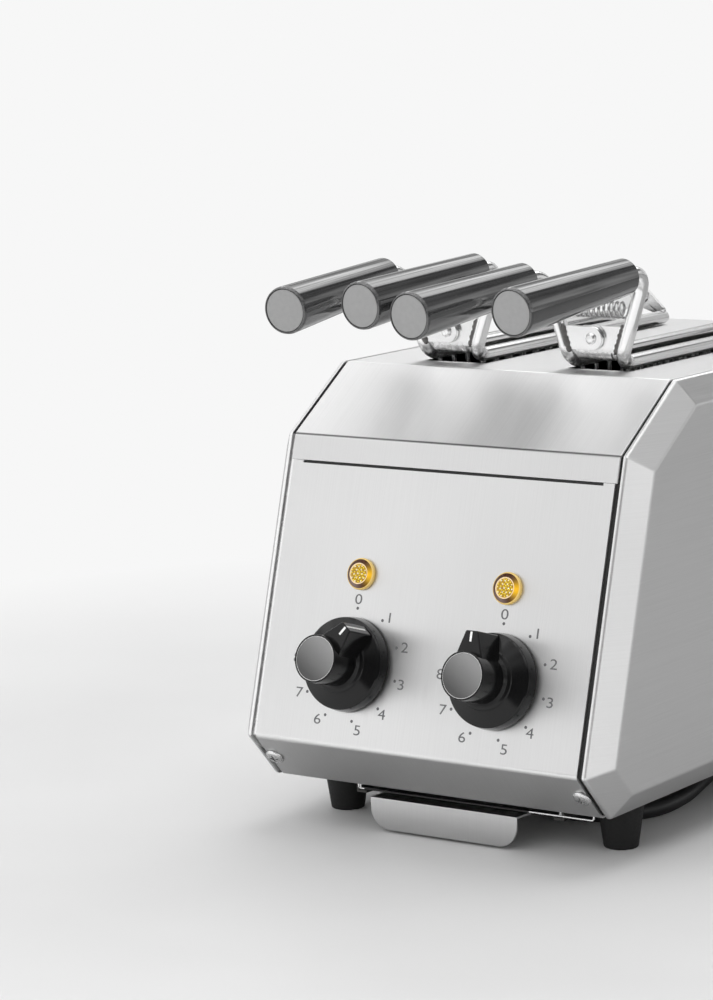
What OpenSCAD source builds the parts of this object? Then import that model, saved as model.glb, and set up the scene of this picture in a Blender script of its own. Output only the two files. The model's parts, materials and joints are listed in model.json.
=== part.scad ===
// Countertop sandwich toaster with two slots, two lift-out spring tongs and a crumb tray.
// Millimetres. X runs to the right seen from the front, Y to the back, Z up from the table.
// The origin is on the table, under the middle of the object's box without its cord.

/* [Body] */
// Width between the two side seams
body_w = 160; // [152:1:190]
// Depth from the foot of the front panel to the rear
body_depth = 306; // [300:1:350]
// Height of the top plate
top_z = 189; // [184:1:210]
// Height of the underside, which the feet take up
base_z = 20; // [18:1:28]
// How far each side panel stands out past its seam
side_out = 10; // [6:0.5:14]
// Width of the bevel round a side panel, seen from the side
side_bevel = 10; // [6:0.5:14]
// Flat strip of a side panel beside the seam
side_strip = 2; // [1:0.5:4]
// Thickness of the steel sheets
sheet = 1; // [0.8:0.1:1.3]
// Inside radius of the bends in the sheets
bend_r = 0.5; // [0.3:0.1:1.2]
// Gap at the seams between sheets
seam = 0.6; // [0.3:0.1:1]
// Clearance between sheets that lie on each other
fit = 0.1; // [0.05:0.05:0.2]
// Width of the side panels' lips that carry the sheets
lip_w = 8; // [7:0.5:8.5]
// Width of the inward flanges along the bottom
flange_w = 12; // [8:1:16]

/* [Front] */
// Height of the fold at the foot of the front panel
panel_foot_z = 40.2; // [36:0.2:46]
// Angle by which the front panel leans back
panel_tilt = 16.4; // [10:0.2:22]
// Length of the front from its foot to the fold under the slope
panel_len = 128.3; // [120:0.1:135]
// How far the bottom fold sets back the underside
chamfer_run = 19; // [12:0.5:26]
// Depth of the slope between the front panel and the top plate
upper_run = 39.5; // [30:0.5:48]
// Strip of the top cover that hangs over the front and rear panels
cover_flange = 11; // [8:0.5:16]
// How much narrower than the cover the front panel is, on each side
panel_in = 1; // [0:0.1:2]
// Shadow gap along the top of the front panel
panel_gap = 1.2; // [0.6:0.1:2]
// Half length of that shadow gap
panel_gap_x = 73.2; // [60:0.2:74]

/* [Rear] */
// Angle by which the rear panel leans forward
rear_tilt = 6; // [0:0.5:12]
// Height of the fold between the rear panel and the rear slope
rear_shoulder_z = 173.5; // [168:0.5:178]
// Depth of the rear slope
rear_run = 24; // [16:0.5:30]
// Number of ventilation slits in each group
vent_count = 6; // [3:1:8]
// Width of a ventilation slit
vent_w = 46; // [30:1:52]
// Height of a ventilation slit
vent_h = 3; // [2:0.5:4]
// Distance between ventilation slits
vent_pitch = 9; // [7:0.5:10]
// Height of the lowest ventilation slit
vent_z = 96; // [90:1:100]

/* [Controls] */
// Distance of each dial from the middle of the panel
dial_x = 35.7; // [32:0.1:40]
// Height of the dials up the panel
dial_up = 34.2; // [30:0.2:38]
// Height of the lamps up the panel
lamp_up = 71.8; // [66:0.2:80]
// Radius of the knob at its foot
knob_r = 19.7; // [17:0.1:21]
// Radius of the knob's rim
knob_rim_r = 19.1; // [16:0.1:20]
// Gap between knob and panel
knob_gap = 0.8; // [0.5:0.1:1.5]
// Height of the knob's rim
knob_rim_h = 6; // [5:0.1:8]
// Height of the foot of the knob's grip
knob_skirt_h = 9.5; // [9:0.1:12]
// Radius of the round grip
grip_r = 9.9; // [8.5:0.1:10.5]
// Height of the knob
knob_h = 25.7; // [24:0.1:30]
// Reach of the pointer from the knob's axis
pointer_reach = 18.3; // [15:0.1:18.8]
// Width of the pointer's end
pointer_w = 5.6; // [4:0.1:8]
// Height of the pointer
pointer_h = 22.8; // [18:0.1:23.5]
// Thickness of the disc let into the knob's face
knob_cap_t = 1; // [0.6:0.1:1.5]
// Rim of the knob round that disc
knob_cap_rim = 0.7; // [0.6:0.1:1.5]
// Bevel round the knob's face
knob_edge = 0.5; // [0.2:0.1:0.5]
// Angle that the left dial is turned to, clockwise
left_dial_turn = 38; // [0:1:270]
// Diameter of the timer shafts
shaft_d = 6; // [5:0.1:7]
// Length of shaft inside the knob
shaft_in_knob = 16; // [10:0.5:18]
// Radial running clearance of shafts and pivots
run_fit = 0.05; // [0.02:0.01:0.1]
// Width and height of a timer
timer_w = 42; // [36:1:46]
// Depth of a timer
timer_deep = 30; // [24:1:34]
// Radius of a timer's threaded neck
neck_r = 5; // [4.5:0.1:6]
// Radius of a lamp's rim
lamp_r = 6.5; // [6:0.1:8]
// Radius of a lamp's face
lamp_face_r = 4.5; // [3.5:0.1:5]
// Height of a lamp
lamp_h = 3; // [2:0.1:5]
// Radius of a lamp's holder behind the panel
lamp_holder_r = 4.8; // [4:0.1:5.5]

/* [Slots] */
// Distance of each slot from the middle
slot_x = 35.7; // [35.6:0.1:37]
// Width of a slot in the top plate
slot_w = 31; // [30.5:0.5:33]
// Front end of the slots
slot_front = 92; // [90:0.5:98]
// Length of the slots
slot_len = 151; // [140:1:156]
// Depth of the collar round each slot
collar_h = 8; // [4:0.5:12]
// Distance from a slot's end to the bulkhead
bulkhead_off = 9; // [6:0.5:10]

/* [Heating] */
// Diameter of the quartz tubes
tube_d = 8; // [7:0.1:8.2]
// Distance of the tubes from the middle of a slot
tube_off = 29.5; // [29.2:0.1:30.5]
// Rows of tubes on each side of a slot
tube_rows = 3; // [2:1:4]
// Height of the lowest row of tubes
tube_z = 62; // [58:1:70]
// Distance between rows of tubes
tube_pitch = 42; // [38:1:44]
// Radial clearance of the tubes in the bulkheads
tube_fit = 0.2; // [0.1:0.05:0.3]
// Length of the ceramic socket on a tube's end
socket_len = 9; // [6:0.5:11]
// Wall of a ceramic socket
socket_wall = 1; // [0.7:0.1:1.5]
// Distance of the guard wires from the middle of a slot
guard_off = 24.2; // [23.5:0.1:24.4]
// Number of upright wires in a guard
guard_wires = 6; // [4:1:10]

/* [Tongs] */
// Diameter of the tong rods
rod_d = 6; // [5.5:0.1:6.4]
// Distance of each rod from the middle of its tong
rod_x = 12; // [11.8:0.1:12.4]
// Height of the resting rods above the top plate
rod_rest = 0.2; // [0.1:0.1:0.5]
// How far the rods pass the rear end of the slot
rod_over = 7.5; // [7.5:0.5:9]
// Distance of the uprights ahead of the slot
upright_lead = 2; // [1.5:0.5:4]
// Bend radius of the rods above the uprights
upper_bend = 9; // [7:0.5:10]
// Bend radius of the rods below the uprights
lower_bend = 7; // [5:0.5:8]
// Distance of each handle from the middle of its tong
handle_x = 24; // [22:0.1:25]
// Height of the right handle's rear end above the top plate
handle_rise = 41; // [36:0.5:44]
// How much lower the left handle of a tong sits
handle_step = 3.3; // [0:0.1:4]
// Distance from a handle's rear end to the uprights
handle_gap = 16; // [13:0.5:20]
// Angle by which the handles fall to the front
handle_tilt = 5; // [0:0.5:8]
// Angle by which the handles turn to the left at the front
handle_yaw = 3.6; // [0:0.1:5]
// The same angle of the outermost left handle, whose rod is bent further in
outer_yaw = -3; // [-4:0.1:5]
// Diameter of a handle at its front end
handle_d = 19.9; // [18:0.1:22]
// Diameter of a handle at its rear end
handle_rear_d = 15.2; // [13:0.1:18]
// Length of the handles
handle_len = 78; // [70:1:90]
// Rounding of the handles' ends
handle_edge = 0.9; // [0.4:0.1:2]
// Length of rod inside a handle
rod_in_handle = 45; // [30:1:60]
// Height of the tong pivot above the top plate
pivot_rise = 13.5; // [12.5:0.1:15]
// Thickness of the hinge plates
plate_t = 2; // [1.5:0.1:2.4]
// Gap between the two hinge plates
plate_gap = 0.3; // [0.2:0.05:0.5]
// Radius of the round end of the hinge tab
tab_r = 5; // [4.6:0.1:6]
// Diameter of the hinge rivet
rivet_d = 3.2; // [2.6:0.1:4]
// Radius of the rivet's heads
rivet_head_r = 2.4; // [2.2:0.1:3.4]
// Height of the spring above the top plate
spring_rise = 25.5; // [24:0.5:27]
// Radius of the spring at the middle of its wire
spring_r = 3.2; // [2.8:0.1:3.6]
// Diameter of the spring's wire
spring_wire = 1.1; // [0.8:0.1:1.3]
// Number of curls in a spring
spring_turns = 12; // [8:1:13]

/* [Cages] */
// Diameter of the cage wires
wire_d = 2; // [1.6:0.1:2.4]
// Distance of the upright wires from the middle of a cage
cage_x = 11; // [10.6:0.1:11.4]
// Number of upright wires in each half of a cage
cage_wires = 14; // [8:1:16]
// Number of long wires in each half of a cage
cage_rails = 3; // [2:1:4]
// Height of the floor of a cage
cage_z = 48; // [44:1:60]
// Distance of the first and last wire from the slot's ends
cage_end = 6; // [5:0.5:12]
// Gap between the two halves of a cage's floor
cage_floor_gap = 3; // [2:0.5:6]
// Height of the lowest long wire above the cage's floor
rail_rise = 24; // [20:1:30]
// Distance of the highest long wire below the slot's collar
rail_drop = 11; // [8:1:16]

/* [Tray] */
// Width of the crumb tray
tray_w = 100; // [90:1:102]
// Height of the tray's walls
tray_wall = 3; // [2:0.5:3.5]
// Gap between the underside and the tray's floor
tray_gap = 5.5; // [4.5:0.1:6.5]
// Front of the tray's tab
tab_front = 22; // [14:0.5:24]
// Front edge of the tray itself
tray_front = 34; // [32:0.5:40]
// Width of the tray's tab
tab_w = 72; // [50:1:86]
// Height of the tab's lower edge above the table
tab_z = 1.2; // [0.6:0.1:4]
// Rounding of the tab's lower corners
tab_r2 = 9; // [3:0.5:10]
// Width of the crumb opening in the base
crumb_w = 96; // [80:1:96]
// Running clearance of the tray
tray_fit = 0.3; // [0.2:0.1:0.5]

/* [Feet and screws] */
// Distance of the feet from the middle
foot_x = 68; // [67.5:0.5:69]
// Distance of the feet from the front and rear
foot_y = 50.7; // [44:0.1:60]
// Diameter of a foot at the table
foot_d = 14; // [12:0.5:18]
// Diameter of a foot at the base
foot_top_d = 20; // [16:0.5:20]
// Radius of the foot screws
foot_screw_r = 2.5; // [2:0.1:3]
// Radius of the panel screws
panel_screw_r = 1.7; // [1.2:0.1:2]
// Radius of the panel screws' heads
panel_screw_head_r = 3.2; // [2.4:0.1:3.6]

/* [Cord] */
// Diameter of the cord
cord_d = 7; // [6:0.1:7.2]
// Length of the strain relief
gland_len = 30; // [20:1:40]
// Place of the strain relief across the rear
gland_x = -52; // [-56:1:-48]
// Height of the strain relief
gland_z = 56; // [54:1:60]
// Width of the terminal block on the rear bulkhead
terminal_w = 36; // [30:1:40]
// Depth of the terminal block
terminal_deep = 16; // [12:0.5:17]
// Height of the terminal block
terminal_h = 17; // [14:0.5:24]
// Radius of the terminal block's screw wells
terminal_well_r = 2.5; // [2:0.1:3]
// Radius of the coil at its outermost turn
coil_r = 43; // [40:0.5:46]
// Distance between neighbouring turns of the coil
coil_step = 7.6; // [7.5:0.1:8]
// Number of turns in the coil
coil_turns = 3.25; // [2.25:1:4.25]
// Diameter of the plug
plug_d = 38; // [34:0.5:38]
// Length of the plug without its pins
plug_len = 34; // [28:1:38]
// Diameter of the plug's pins
pin_d = 4.8; // [4:0.1:5]
// Length of the plug's pins
pin_len = 19; // [17:0.5:20]
// Distance between the plug's pins
pin_gap = 19; // [17:0.5:20]

/* [Hidden] */
$fn = 48;
EPS = 0.01;

// Small helpers for directions and lists
function unit(v) = v / norm(v);
function right_of(d) = [d[1], -d[0]];
function reversed(P) = [for (i = [len(P) - 1 : -1 : 0]) P[i]];

// Points of an arc of radius r that rounds the corner p between a and b
function corner(a, p, b, r, n = 4) =
    let (u = unit(a - p),
         v = unit(b - p),
         half = acos(u * v) / 2,
         c = p + unit(u + v) * r / sin(half),
         s = p + u * r / tan(half) - c,
         e = p + v * r / tan(half) - c,
         start = atan2(s[1], s[0]),
         turn = (atan2(e[1], e[0]) - start + 540) % 360 - 180)
    [for (i = [0 : n]) c + r * [cos(start + turn * i / n), sin(start + turn * i / n)]];

// An open path, and a closed one, with rounded corners
function bent(P, r) =
    concat([P[0]],
           [for (i = [1 : len(P) - 2]) each corner(P[i - 1], P[i], P[i + 1], r)],
           [P[len(P) - 1]]);
function bent_loop(P, r) =
    let (n = len(P))
    [for (i = [0 : n - 1]) each corner(P[(i + n - 1) % n], P[i], P[(i + 1) % n], r)];

// The same path moved by t to its right-hand side
function inset(P, t) =
    let (m = len(P) - 1)
    [for (i = [0 : m])
        let (a = right_of(unit(i > 0 ? P[i] - P[i - 1] : P[1] - P[0])),
             b = right_of(unit(i < m ? P[i + 1] - P[i] : P[m] - P[m - 1])))
        P[i] + t * (a + b) / (1 + a * b)];
function inset_loop(P, t) =
    let (n = len(P))
    [for (i = [0 : n - 1])
        let (a = right_of(unit(P[i] - P[(i + n - 1) % n])),
             b = right_of(unit(P[(i + 1) % n] - P[i])))
        P[i] + t * (a + b) / (1 + a * b)];

// Side outline of the body as points of Y and Z, from the bottom front over the top to the rear
function up_panel(s) = [s * sin(panel_tilt), panel_foot_z + s * cos(panel_tilt)];
front_low = [chamfer_run, base_z];
front_foot = up_panel(0);
front_fold = up_panel(panel_len);
front_top = [front_fold[0] + upper_run, top_z];
rear_foot = [body_depth, panel_foot_z];
rear_low = [body_depth - chamfer_run, base_z];
rear_fold = [body_depth - (rear_shoulder_z - panel_foot_z) * tan(rear_tilt), rear_shoulder_z];
rear_top = [rear_fold[0] - rear_run, top_z];
rear_dir = unit(rear_foot - rear_fold);
chamfer_angle = atan2(front_low[1] - front_foot[1], front_low[0] - front_foot[0]);
chamfer_len = norm(front_low - front_foot);
outline = [front_low, front_foot, front_fold, front_top, rear_top, rear_fold, rear_foot, rear_low];
bend_out = bend_r + 2 * sheet;
skin = bent_loop(outline, bend_out);
half_w = body_w / 2;
cover_w = body_w - 2 * seam;
panel_w = cover_w - 2 * panel_in;
panel_end = panel_len - cover_flange;
inner_top = top_z - sheet;
inner_base = base_z + sheet;
lip_x = half_w - lip_w;

// The most forward point is the lower edge of the knobs' faces
knob_front = up_panel(dial_up)[0] - knob_h * cos(panel_tilt)
    - (grip_r - knob_edge) * sin(panel_tilt);
box_mid = (knob_front + body_depth) / 2;

// Places along the slots
slot_rear = slot_front + slot_len;
bulkhead_front = slot_front - bulkhead_off;
bulkhead_rear = slot_rear + bulkhead_off;
tube_r = tube_d / 2;
tube_end = sheet + socket_len - 1;
tube_x = [for (t = [-1, 1], s = [-1, 1]) t * slot_x + s * tube_off];
tube_zs = [for (i = [0 : tube_rows - 1]) tube_z + i * tube_pitch];
shield_x = slot_x + tube_off + tube_r + 1.2;
crumb_front = bulkhead_front + 5;
crumb_rear = bulkhead_rear - 5;

// Places on a tong
rod_r = rod_d / 2;
rod_z = top_z + rod_r + rod_rest;
upright_y = slot_front - upright_lead;
pivot_z = top_z + pivot_rise;
function yaw_of(t, s) = t < 0 && s < 0 ? outer_yaw : handle_yaw;
function handle_dir(yaw) =
    [sin(yaw) * cos(handle_tilt), cos(yaw) * cos(handle_tilt), sin(handle_tilt)];
function gap_run(yaw) = handle_gap / handle_dir(yaw)[1] * handle_dir(yaw);
function upper_corner(s) =
    [s * handle_x, upright_y - handle_gap, top_z + handle_rise - (s < 0 ? handle_step : 0)]
    + gap_run(handle_yaw);
function handle_rear(t, s) = upper_corner(s) - gap_run(yaw_of(t, s));
function rod_path(t, s) =
    [handle_rear(t, s) - rod_in_handle * handle_dir(yaw_of(t, s)),
     upper_corner(s),
     [s * rod_x, upright_y, rod_z],
     [s * rod_x, slot_rear + rod_over - rod_r, rod_z]];
function upright_x(s, z) =
    let (P = rod_path(1, s))
    rod_x + (s * P[1][0] - rod_x) * (z - P[2][2]) / (P[1][2] - P[2][2]);
upright_cos = cos(atan2(handle_x - rod_x, handle_rise - rod_r));
upright_seat = rod_r / upright_cos + 0.15;
tab_y = upright_y - plate_gap / 2 - plate_t - 1;
plate_y = tab_y + plate_t + plate_gap;
rear_shift = slot_rear - tab_y;
plate_reach = 9.5;
plate_low = pivot_z - 6;
plate_high = pivot_z + 5;
cage_rail_zs = [for (i = [0 : cage_rails - 1])
    cage_z + rail_rise + i * (top_z - collar_h - rail_drop - cage_z - rail_rise) / (cage_rails - 1)];
rail_x = cage_x + wire_d + fit;
cage_first = slot_front + cage_end;
cage_last = slot_rear - cage_end;
cage_ys = [for (i = [0 : cage_wires - 1]) cage_first + i * (cage_last - cage_first) / (cage_wires - 1)];

// Heights of the tray
tray_top = base_z - tray_gap;
tray_low = tray_top - sheet;
tray_rear = crumb_rear + 12;
rail_web = tray_w / 2 + tray_fit;
foot_rear_y = body_depth - foot_y;

// Route of the cord from the strain relief under the body, round behind the right front foot
// and back out to the coil behind the object
CORD_ROUTE = [
    [-52, 190.2, 59.2], [-52, 200, 60.2], [-52, 214, 56.5], [-52, 224.5, 46], [-52, 228.5, 32],
    [-52, 224.5, 17.5], [-52, 214, 7.8], [-52, 200, 4.3], [-52, 182, 3.6], [-52, 164, 3.6],
    [-51.5, 128, 3.6], [-50, 110, 3.6], [-47, 92, 3.6], [-42.5, 75, 3.6], [-37, 58, 3.6],
    [-25, 24, 3.6], [-13, -10, 3.6], [-1, -43, 3.6], [7, -57, 3.6], [17, -67, 3.6],
    [29, -71, 3.6], [41, -68, 3.6], [51, -59, 3.6], [56.5, -46, 3.6], [57, -32, 3.6],
    [55, -17, 3.6], [51, -1, 3.6], [47, 14, 3.6], [43.5, 30, 3.6], [40.5, 48, 3.6],
    [38.5, 66, 3.6], [38, 84, 3.6], [39, 102, 3.6], [42, 120, 3.6], [47, 138, 3.6],
    [53, 156, 3.6], [58.5, 174, 3.8], [62, 192, 4.4], [63, 205, 4.8], [63, 212, 4.8]
];
coil_mid = [20, 219];
coil_z = 4.8;
tail_start = [coil_mid[0] - 2, coil_mid[1] + coil_r, coil_z + coil_step];
plug_tip = [-20, 262, 19];
TAIL_ROUTE = [[16, 262, 12.4], [7.5, 262, 13.2], [-1, 262, 15.7], [-9.5, 262, 18.2], [-18, 262, 19]];
relief_len = 26;

// A smooth curve through the points of P, with n steps between two points
function smooth(P, n) =
    let (m = len(P) - 1)
    concat([for (i = [0 : m - 1], k = [0 : n - 1])
        let (t = k / n,
             a = P[max(i - 1, 0)],
             b = P[i],
             c = P[i + 1],
             d = P[min(i + 2, m)])
        0.5 * (2 * b + (c - a) * t + (2 * a - 5 * b + 4 * c - d) * t * t
               + (3 * b - a - 3 * c + d) * t * t * t)], [P[m]]);

// Coil of two layers that winds in, climbs a layer in half a turn and winds out again
function coil_points(steps = 24) =
    let (n = ceil(coil_turns * steps),
         mid = coil_turns / 2)
    concat([[coil_mid[0] + coil_r, coil_mid[1] - cord_d + 2 * fit, coil_z]],
        [for (i = [0 : n])
            let (t = coil_turns * i / n,
                 r = coil_r - coil_step * min(t, coil_turns - t),
                 climb = min(max((t - mid + 0.25) / 0.5, 0), 1))
            [coil_mid[0] + r * cos(360 * t), coil_mid[1] + r * sin(360 * t), coil_z + coil_step * climb]],
        [tail_start]);

// Spring along X between the uprights of a tong, with straight wire ends
function spring_points(steps = 8) =
    let (z = top_z + spring_rise,
         a = -(upright_x(-1, z) - upright_seat - 0.15),
         b = upright_x(1, z) - upright_seat - 0.15,
         n = spring_turns * steps,
         w = spring_wire)
    concat([[a, upright_y + spring_r, z]],
        [for (i = [0 : n])
            [a + w + (b - a - 2 * w) * i / n,
             upright_y + spring_r * cos(360 * spring_turns * i / n),
             z + spring_r * sin(360 * spring_turns * i / n)]],
        [[b, upright_y + spring_r, z]]);

// Least distance between the surfaces of two stretches of a tube that lie more than apart points away
function least_gap(P, d, apart) =
    min([for (i = [0 : len(P) - apart - 1], j = [i + apart : len(P) - 1]) norm(P[i] - P[j])]) - d;
echo("least gap in the coil", least_gap(coil_points(), cord_d, 12));
echo("least gap in a spring", least_gap(spring_points(), spring_wire, 5));

// A tube of triangles along the points of P
module tube(P, d, sides) {
    n = len(P);
    T = [for (i = [0 : n - 1]) unit(P[min(i + 1, n - 1)] - P[max(i - 1, 0)])];
    first = unit(cross(T[0], abs(T[0][0]) < 0.9 ? [1, 0, 0] : [0, 0, 1]));
    N = [for (i = 0, v = first; i < n; i = i + 1, v = i < n ? unit(v - (v * T[i]) * T[i]) : v) v];
    rings = [for (i = [0 : n - 1], k = [0 : sides - 1])
        P[i] + d / 2 * (cos(360 * k / sides) * N[i] + sin(360 * k / sides) * cross(T[i], N[i]))];
    last = (n - 1) * sides;
    walls = [for (i = [0 : n - 2], k = [0 : sides - 1])
        let (a = i * sides + k,
             b = i * sides + (k + 1) % sides)
        each [[a, a + sides, b + sides], [a, b + sides, b]]];
    caps = [for (k = [1 : sides - 2]) each [[0, k, k + 1], [last, last + k + 1, last + k]]];
    polyhedron(rings, concat(walls, caps), convexity = 10);
}

// A round bar from p to q
module bar(p, q, d) {
    v = q - p;
    translate(p)
        rotate([0, acos(v[2] / norm(v)), atan2(v[1], v[0])])
            cylinder(h = norm(v), d = d);
}

// A round bend of radius r in a bar, at the corner p between a and b
module bar_bend(a, p, b, r, d) {
    u = unit(a - p);
    v = unit(b - p);
    half = acos(u * v) / 2;
    c = p + unit(u + v) * r / sin(half);
    e = (p + u * r / tan(half) - c) / r;
    n = cross(e, -u);
    multmatrix([[e[0], -u[0], n[0], c[0]],
                [e[1], -u[1], n[1], c[1]],
                [e[2], -u[2], n[2], c[2]],
                [0, 0, 0, 1]])
        rotate_extrude(angle = 180 - 2 * half)
            translate([r, 0])
                circle(d = d);
}

// The point where a bend of radius r at p starts, on the side of a
function bend_start(a, p, b, r) =
    let (half = acos(unit(a - p) * unit(b - p)) / 2)
    p + unit(a - p) * r / tan(half);

// Moves a part from the front foot of the panel to the shared origin
module seat() {
    translate([0, -box_mid, 0])
        children();
}

// Draws a shape of Y and Z along X, between x0 and x1
module along_x(x0, x1) {
    translate([x0, 0, 0])
        rotate([90, 0, 90])
            linear_extrude(x1 - x0)
                children();
}

// Draws a shape of X and Z along Y, between y0 and y1
module along_y(y0, y1) {
    translate([0, y1, 0])
        rotate([90, 0, 0])
            linear_extrude(y1 - y0)
                children();
}

// A sheet of thickness t that follows a bent path, drawn across the width w
module bent_sheet(P, w, t = sheet) {
    path = bent(P, bend_r + t + sheet);
    along_x(-w / 2, w / 2)
        polygon(concat(path, reversed(inset(path, t))));
}

// Places a part on the front panel, with its own Z pointing out of the panel
module on_panel(x, s) {
    translate([x, up_panel(s)[0], up_panel(s)[1]])
        rotate([90 - panel_tilt, 0, 0])
            children();
}

// Places a part on the rear panel, with its own Z pointing out of the panel
module on_rear(x, z) {
    translate([x, body_depth - (z - panel_foot_z) * tan(rear_tilt), z])
        rotate([rear_tilt - 90, 0, 0])
            children();
}

// Places the screws of the lower folds, with their own Z pointing out of the sheet
module at_panel_screws() {
    for (s = [-1, 1]) {
        translate([s * (half_w - lip_w / 2 - seam), front_foot[0], front_foot[1]])
            rotate([chamfer_angle, 0, 0])
                translate([0, chamfer_len / 2, 0])
                    rotate([180, 0, 0])
                        children();
        translate([s * (half_w - lip_w / 2 - seam), rear_foot[0], rear_foot[1]])
            rotate([180 - chamfer_angle, 0, 0])
                translate([0, chamfer_len / 2, 0])
                    children();
    }
}

// Places something under each foot, on the table
module at_feet() {
    for (s = [-1, 1], y = [foot_y, foot_rear_y])
        translate([s * foot_x, y, 0])
            children();
}

// Body sheets
module front_panel_sheet() {
    bent_sheet([[front_low[0] + flange_w, base_z], front_low, front_foot, up_panel(panel_end - fit)],
               panel_w);
    // Tongue behind the cover's flange
    on_panel(0, panel_end)
        translate([-panel_gap_x + 2, -cover_flange, -2 * sheet - fit])
            cube([2 * panel_gap_x - 4, cover_flange - 2 * fit, 1.5 * sheet + fit]);
    on_panel(0, panel_end)
        translate([-panel_gap_x + 2, -2 * sheet, -2 * sheet - fit])
            cube([2 * panel_gap_x - 4, cover_flange - sheet, sheet]);
}

module front_panel() {
    color("gainsboro")
        seat()
            difference() {
                front_panel_sheet();
                // Shadow gap
                on_panel(0, panel_end)
                    translate([-panel_gap_x, -panel_gap, -sheet / 2])
                        cube([2 * panel_gap_x, 2 * panel_gap, 2 * sheet]);
                for (s = [-1, 1]) {
                    on_panel(s * dial_x, dial_up)
                        cylinder(h = 10, r = neck_r + fit, center = true);
                    on_panel(s * dial_x, lamp_up)
                        cylinder(h = 10, r = lamp_holder_r + fit, center = true);
                }
                at_panel_screws()
                    cylinder(h = 10, r = panel_screw_r + fit, center = true);
            }
}

module slot_collar(t) {
    difference() {
        translate([t * slot_x - slot_w / 2 - sheet, slot_front - sheet, top_z - collar_h])
            cube([slot_w + 2 * sheet, slot_len + 2 * sheet, collar_h - sheet / 2]);
        slot_cut(t);
    }
}

module slot_cut(t) {
    translate([t * slot_x - slot_w / 2, slot_front, top_z - 2 * collar_h])
        cube([slot_w, slot_len, 3 * collar_h]);
}

module top_cover() {
    color("gainsboro")
        seat() {
            difference() {
                bent_sheet([up_panel(panel_end), front_fold, front_top, rear_top, rear_fold,
                            rear_fold + cover_flange * rear_dir], cover_w);
                for (t = [-1, 1])
                    slot_cut(t);
            }
            for (t = [-1, 1])
                slot_collar(t);
        }
}

module rear_panel() {
    color("gainsboro")
        seat()
            difference() {
                bent_sheet([rear_fold + (cover_flange + seam) * rear_dir, rear_foot, rear_low,
                            [rear_low[0] - flange_w, base_z]], panel_w);
                for (s = [-1, 1], i = [0 : vent_count - 1])
                    on_rear(s * dial_x, vent_z + i * vent_pitch)
                        translate([-vent_w / 2, -vent_h / 2, -5])
                            cube([vent_w, vent_h, 10]);
                on_rear(gland_x, gland_z)
                    cylinder(h = 10, r = cord_d, center = true);
                at_panel_screws()
                    cylinder(h = 10, r = panel_screw_r + fit, center = true);
            }
}

module base_plate() {
    color("silver")
        seat()
            difference() {
                translate([-cover_w / 2, front_low[0] + flange_w + seam, base_z])
                    cube([cover_w, rear_low[0] - front_low[0] - 2 * flange_w - 2 * seam, sheet]);
                translate([-crumb_w / 2, crumb_front, base_z - sheet])
                    cube([crumb_w, crumb_rear - crumb_front, 3 * sheet]);
                at_feet()
                    cylinder(h = base_z + 4 * sheet, r = foot_screw_r + fit);
            }
}

// A side panel is a bevelled dish whose lip carries the other sheets
module side_dish(t) {
    hull() {
        along_x(half_w, half_w + side_strip)
            polygon(inset_loop(outline, t));
        along_x(half_w + side_out - t - EPS, half_w + side_out - t)
            polygon(inset_loop(outline, side_bevel));
    }
}

module side_ring(t0, t1, x0, x1) {
    along_x(x0, x1)
        difference() {
            polygon(inset_loop(skin, t0));
            polygon(inset_loop(skin, t1));
        }
}

module side_panel() {
    difference() {
        union() {
            difference() {
                side_dish(0);
                side_dish(sheet);
            }
            side_ring(sheet / 2, 2 * sheet + fit, half_w, half_w + sheet);
            side_ring(sheet + fit, 2 * sheet + fit, lip_x, half_w + sheet);
        }
        at_panel_screws()
            cylinder(h = 12, r = panel_screw_r + fit, center = true);
    }
}

module right_side_panel() {
    color("silver")
        seat()
            side_panel();
}

module left_side_panel() {
    color("silver")
        seat()
            mirror([1, 0, 0])
                side_panel();
}

// Heating chamber
module bulkhead(y0, foot_dir) {
    difference() {
        union() {
            translate([-shield_x - sheet, y0, inner_base])
                cube([2 * shield_x + 2 * sheet, sheet, inner_top - inner_base - fit]);
            translate([-shield_x - sheet, foot_dir > 0 ? y0 : y0 - cover_flange, inner_base])
                cube([2 * shield_x + 2 * sheet, cover_flange + sheet, sheet]);
        }
        for (x = tube_x, z = tube_zs)
            translate([x, y0 - sheet, z])
                rotate([-90, 0, 0])
                    cylinder(h = 3 * sheet, r = tube_r + tube_fit);
        at_feet()
            cylinder(h = base_z + 4 * sheet, r = foot_screw_r + fit);
    }
}

module front_bulkhead() {
    color("lightgray")
        seat()
            bulkhead(bulkhead_front - sheet, -1);
}

module rear_bulkhead() {
    color("lightgray")
        seat()
            bulkhead(bulkhead_rear, 1);
}

module heat_shields() {
    color("lightgray")
        seat()
            for (s = [-1, 1])
                translate([s > 0 ? shield_x : -shield_x - sheet, bulkhead_front + fit, inner_base + fit])
                    cube([sheet, bulkhead_rear - bulkhead_front - 2 * fit, inner_top - inner_base - 2 * fit]);
}

module quartz_tubes() {
    color("whitesmoke")
        seat()
            for (x = tube_x, z = tube_zs)
                translate([x, bulkhead_front - tube_end, z])
                    rotate([-90, 0, 0])
                        cylinder(h = bulkhead_rear - bulkhead_front + 2 * tube_end, r = tube_r);
}

module tube_sockets() {
    color("ivory")
        seat()
            for (x = tube_x, z = tube_zs, e = [0, 1])
                translate([x, e > 0 ? bulkhead_rear + sheet + fit : bulkhead_front - sheet - fit, z])
                    rotate([e > 0 ? -90 : 90, 0, 0])
                        difference() {
                            cylinder(h = socket_len, r = tube_r + socket_wall);
                            translate([0, 0, -1])
                                cylinder(h = socket_len, r = tube_r + fit / 2);
                        }
}

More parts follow.
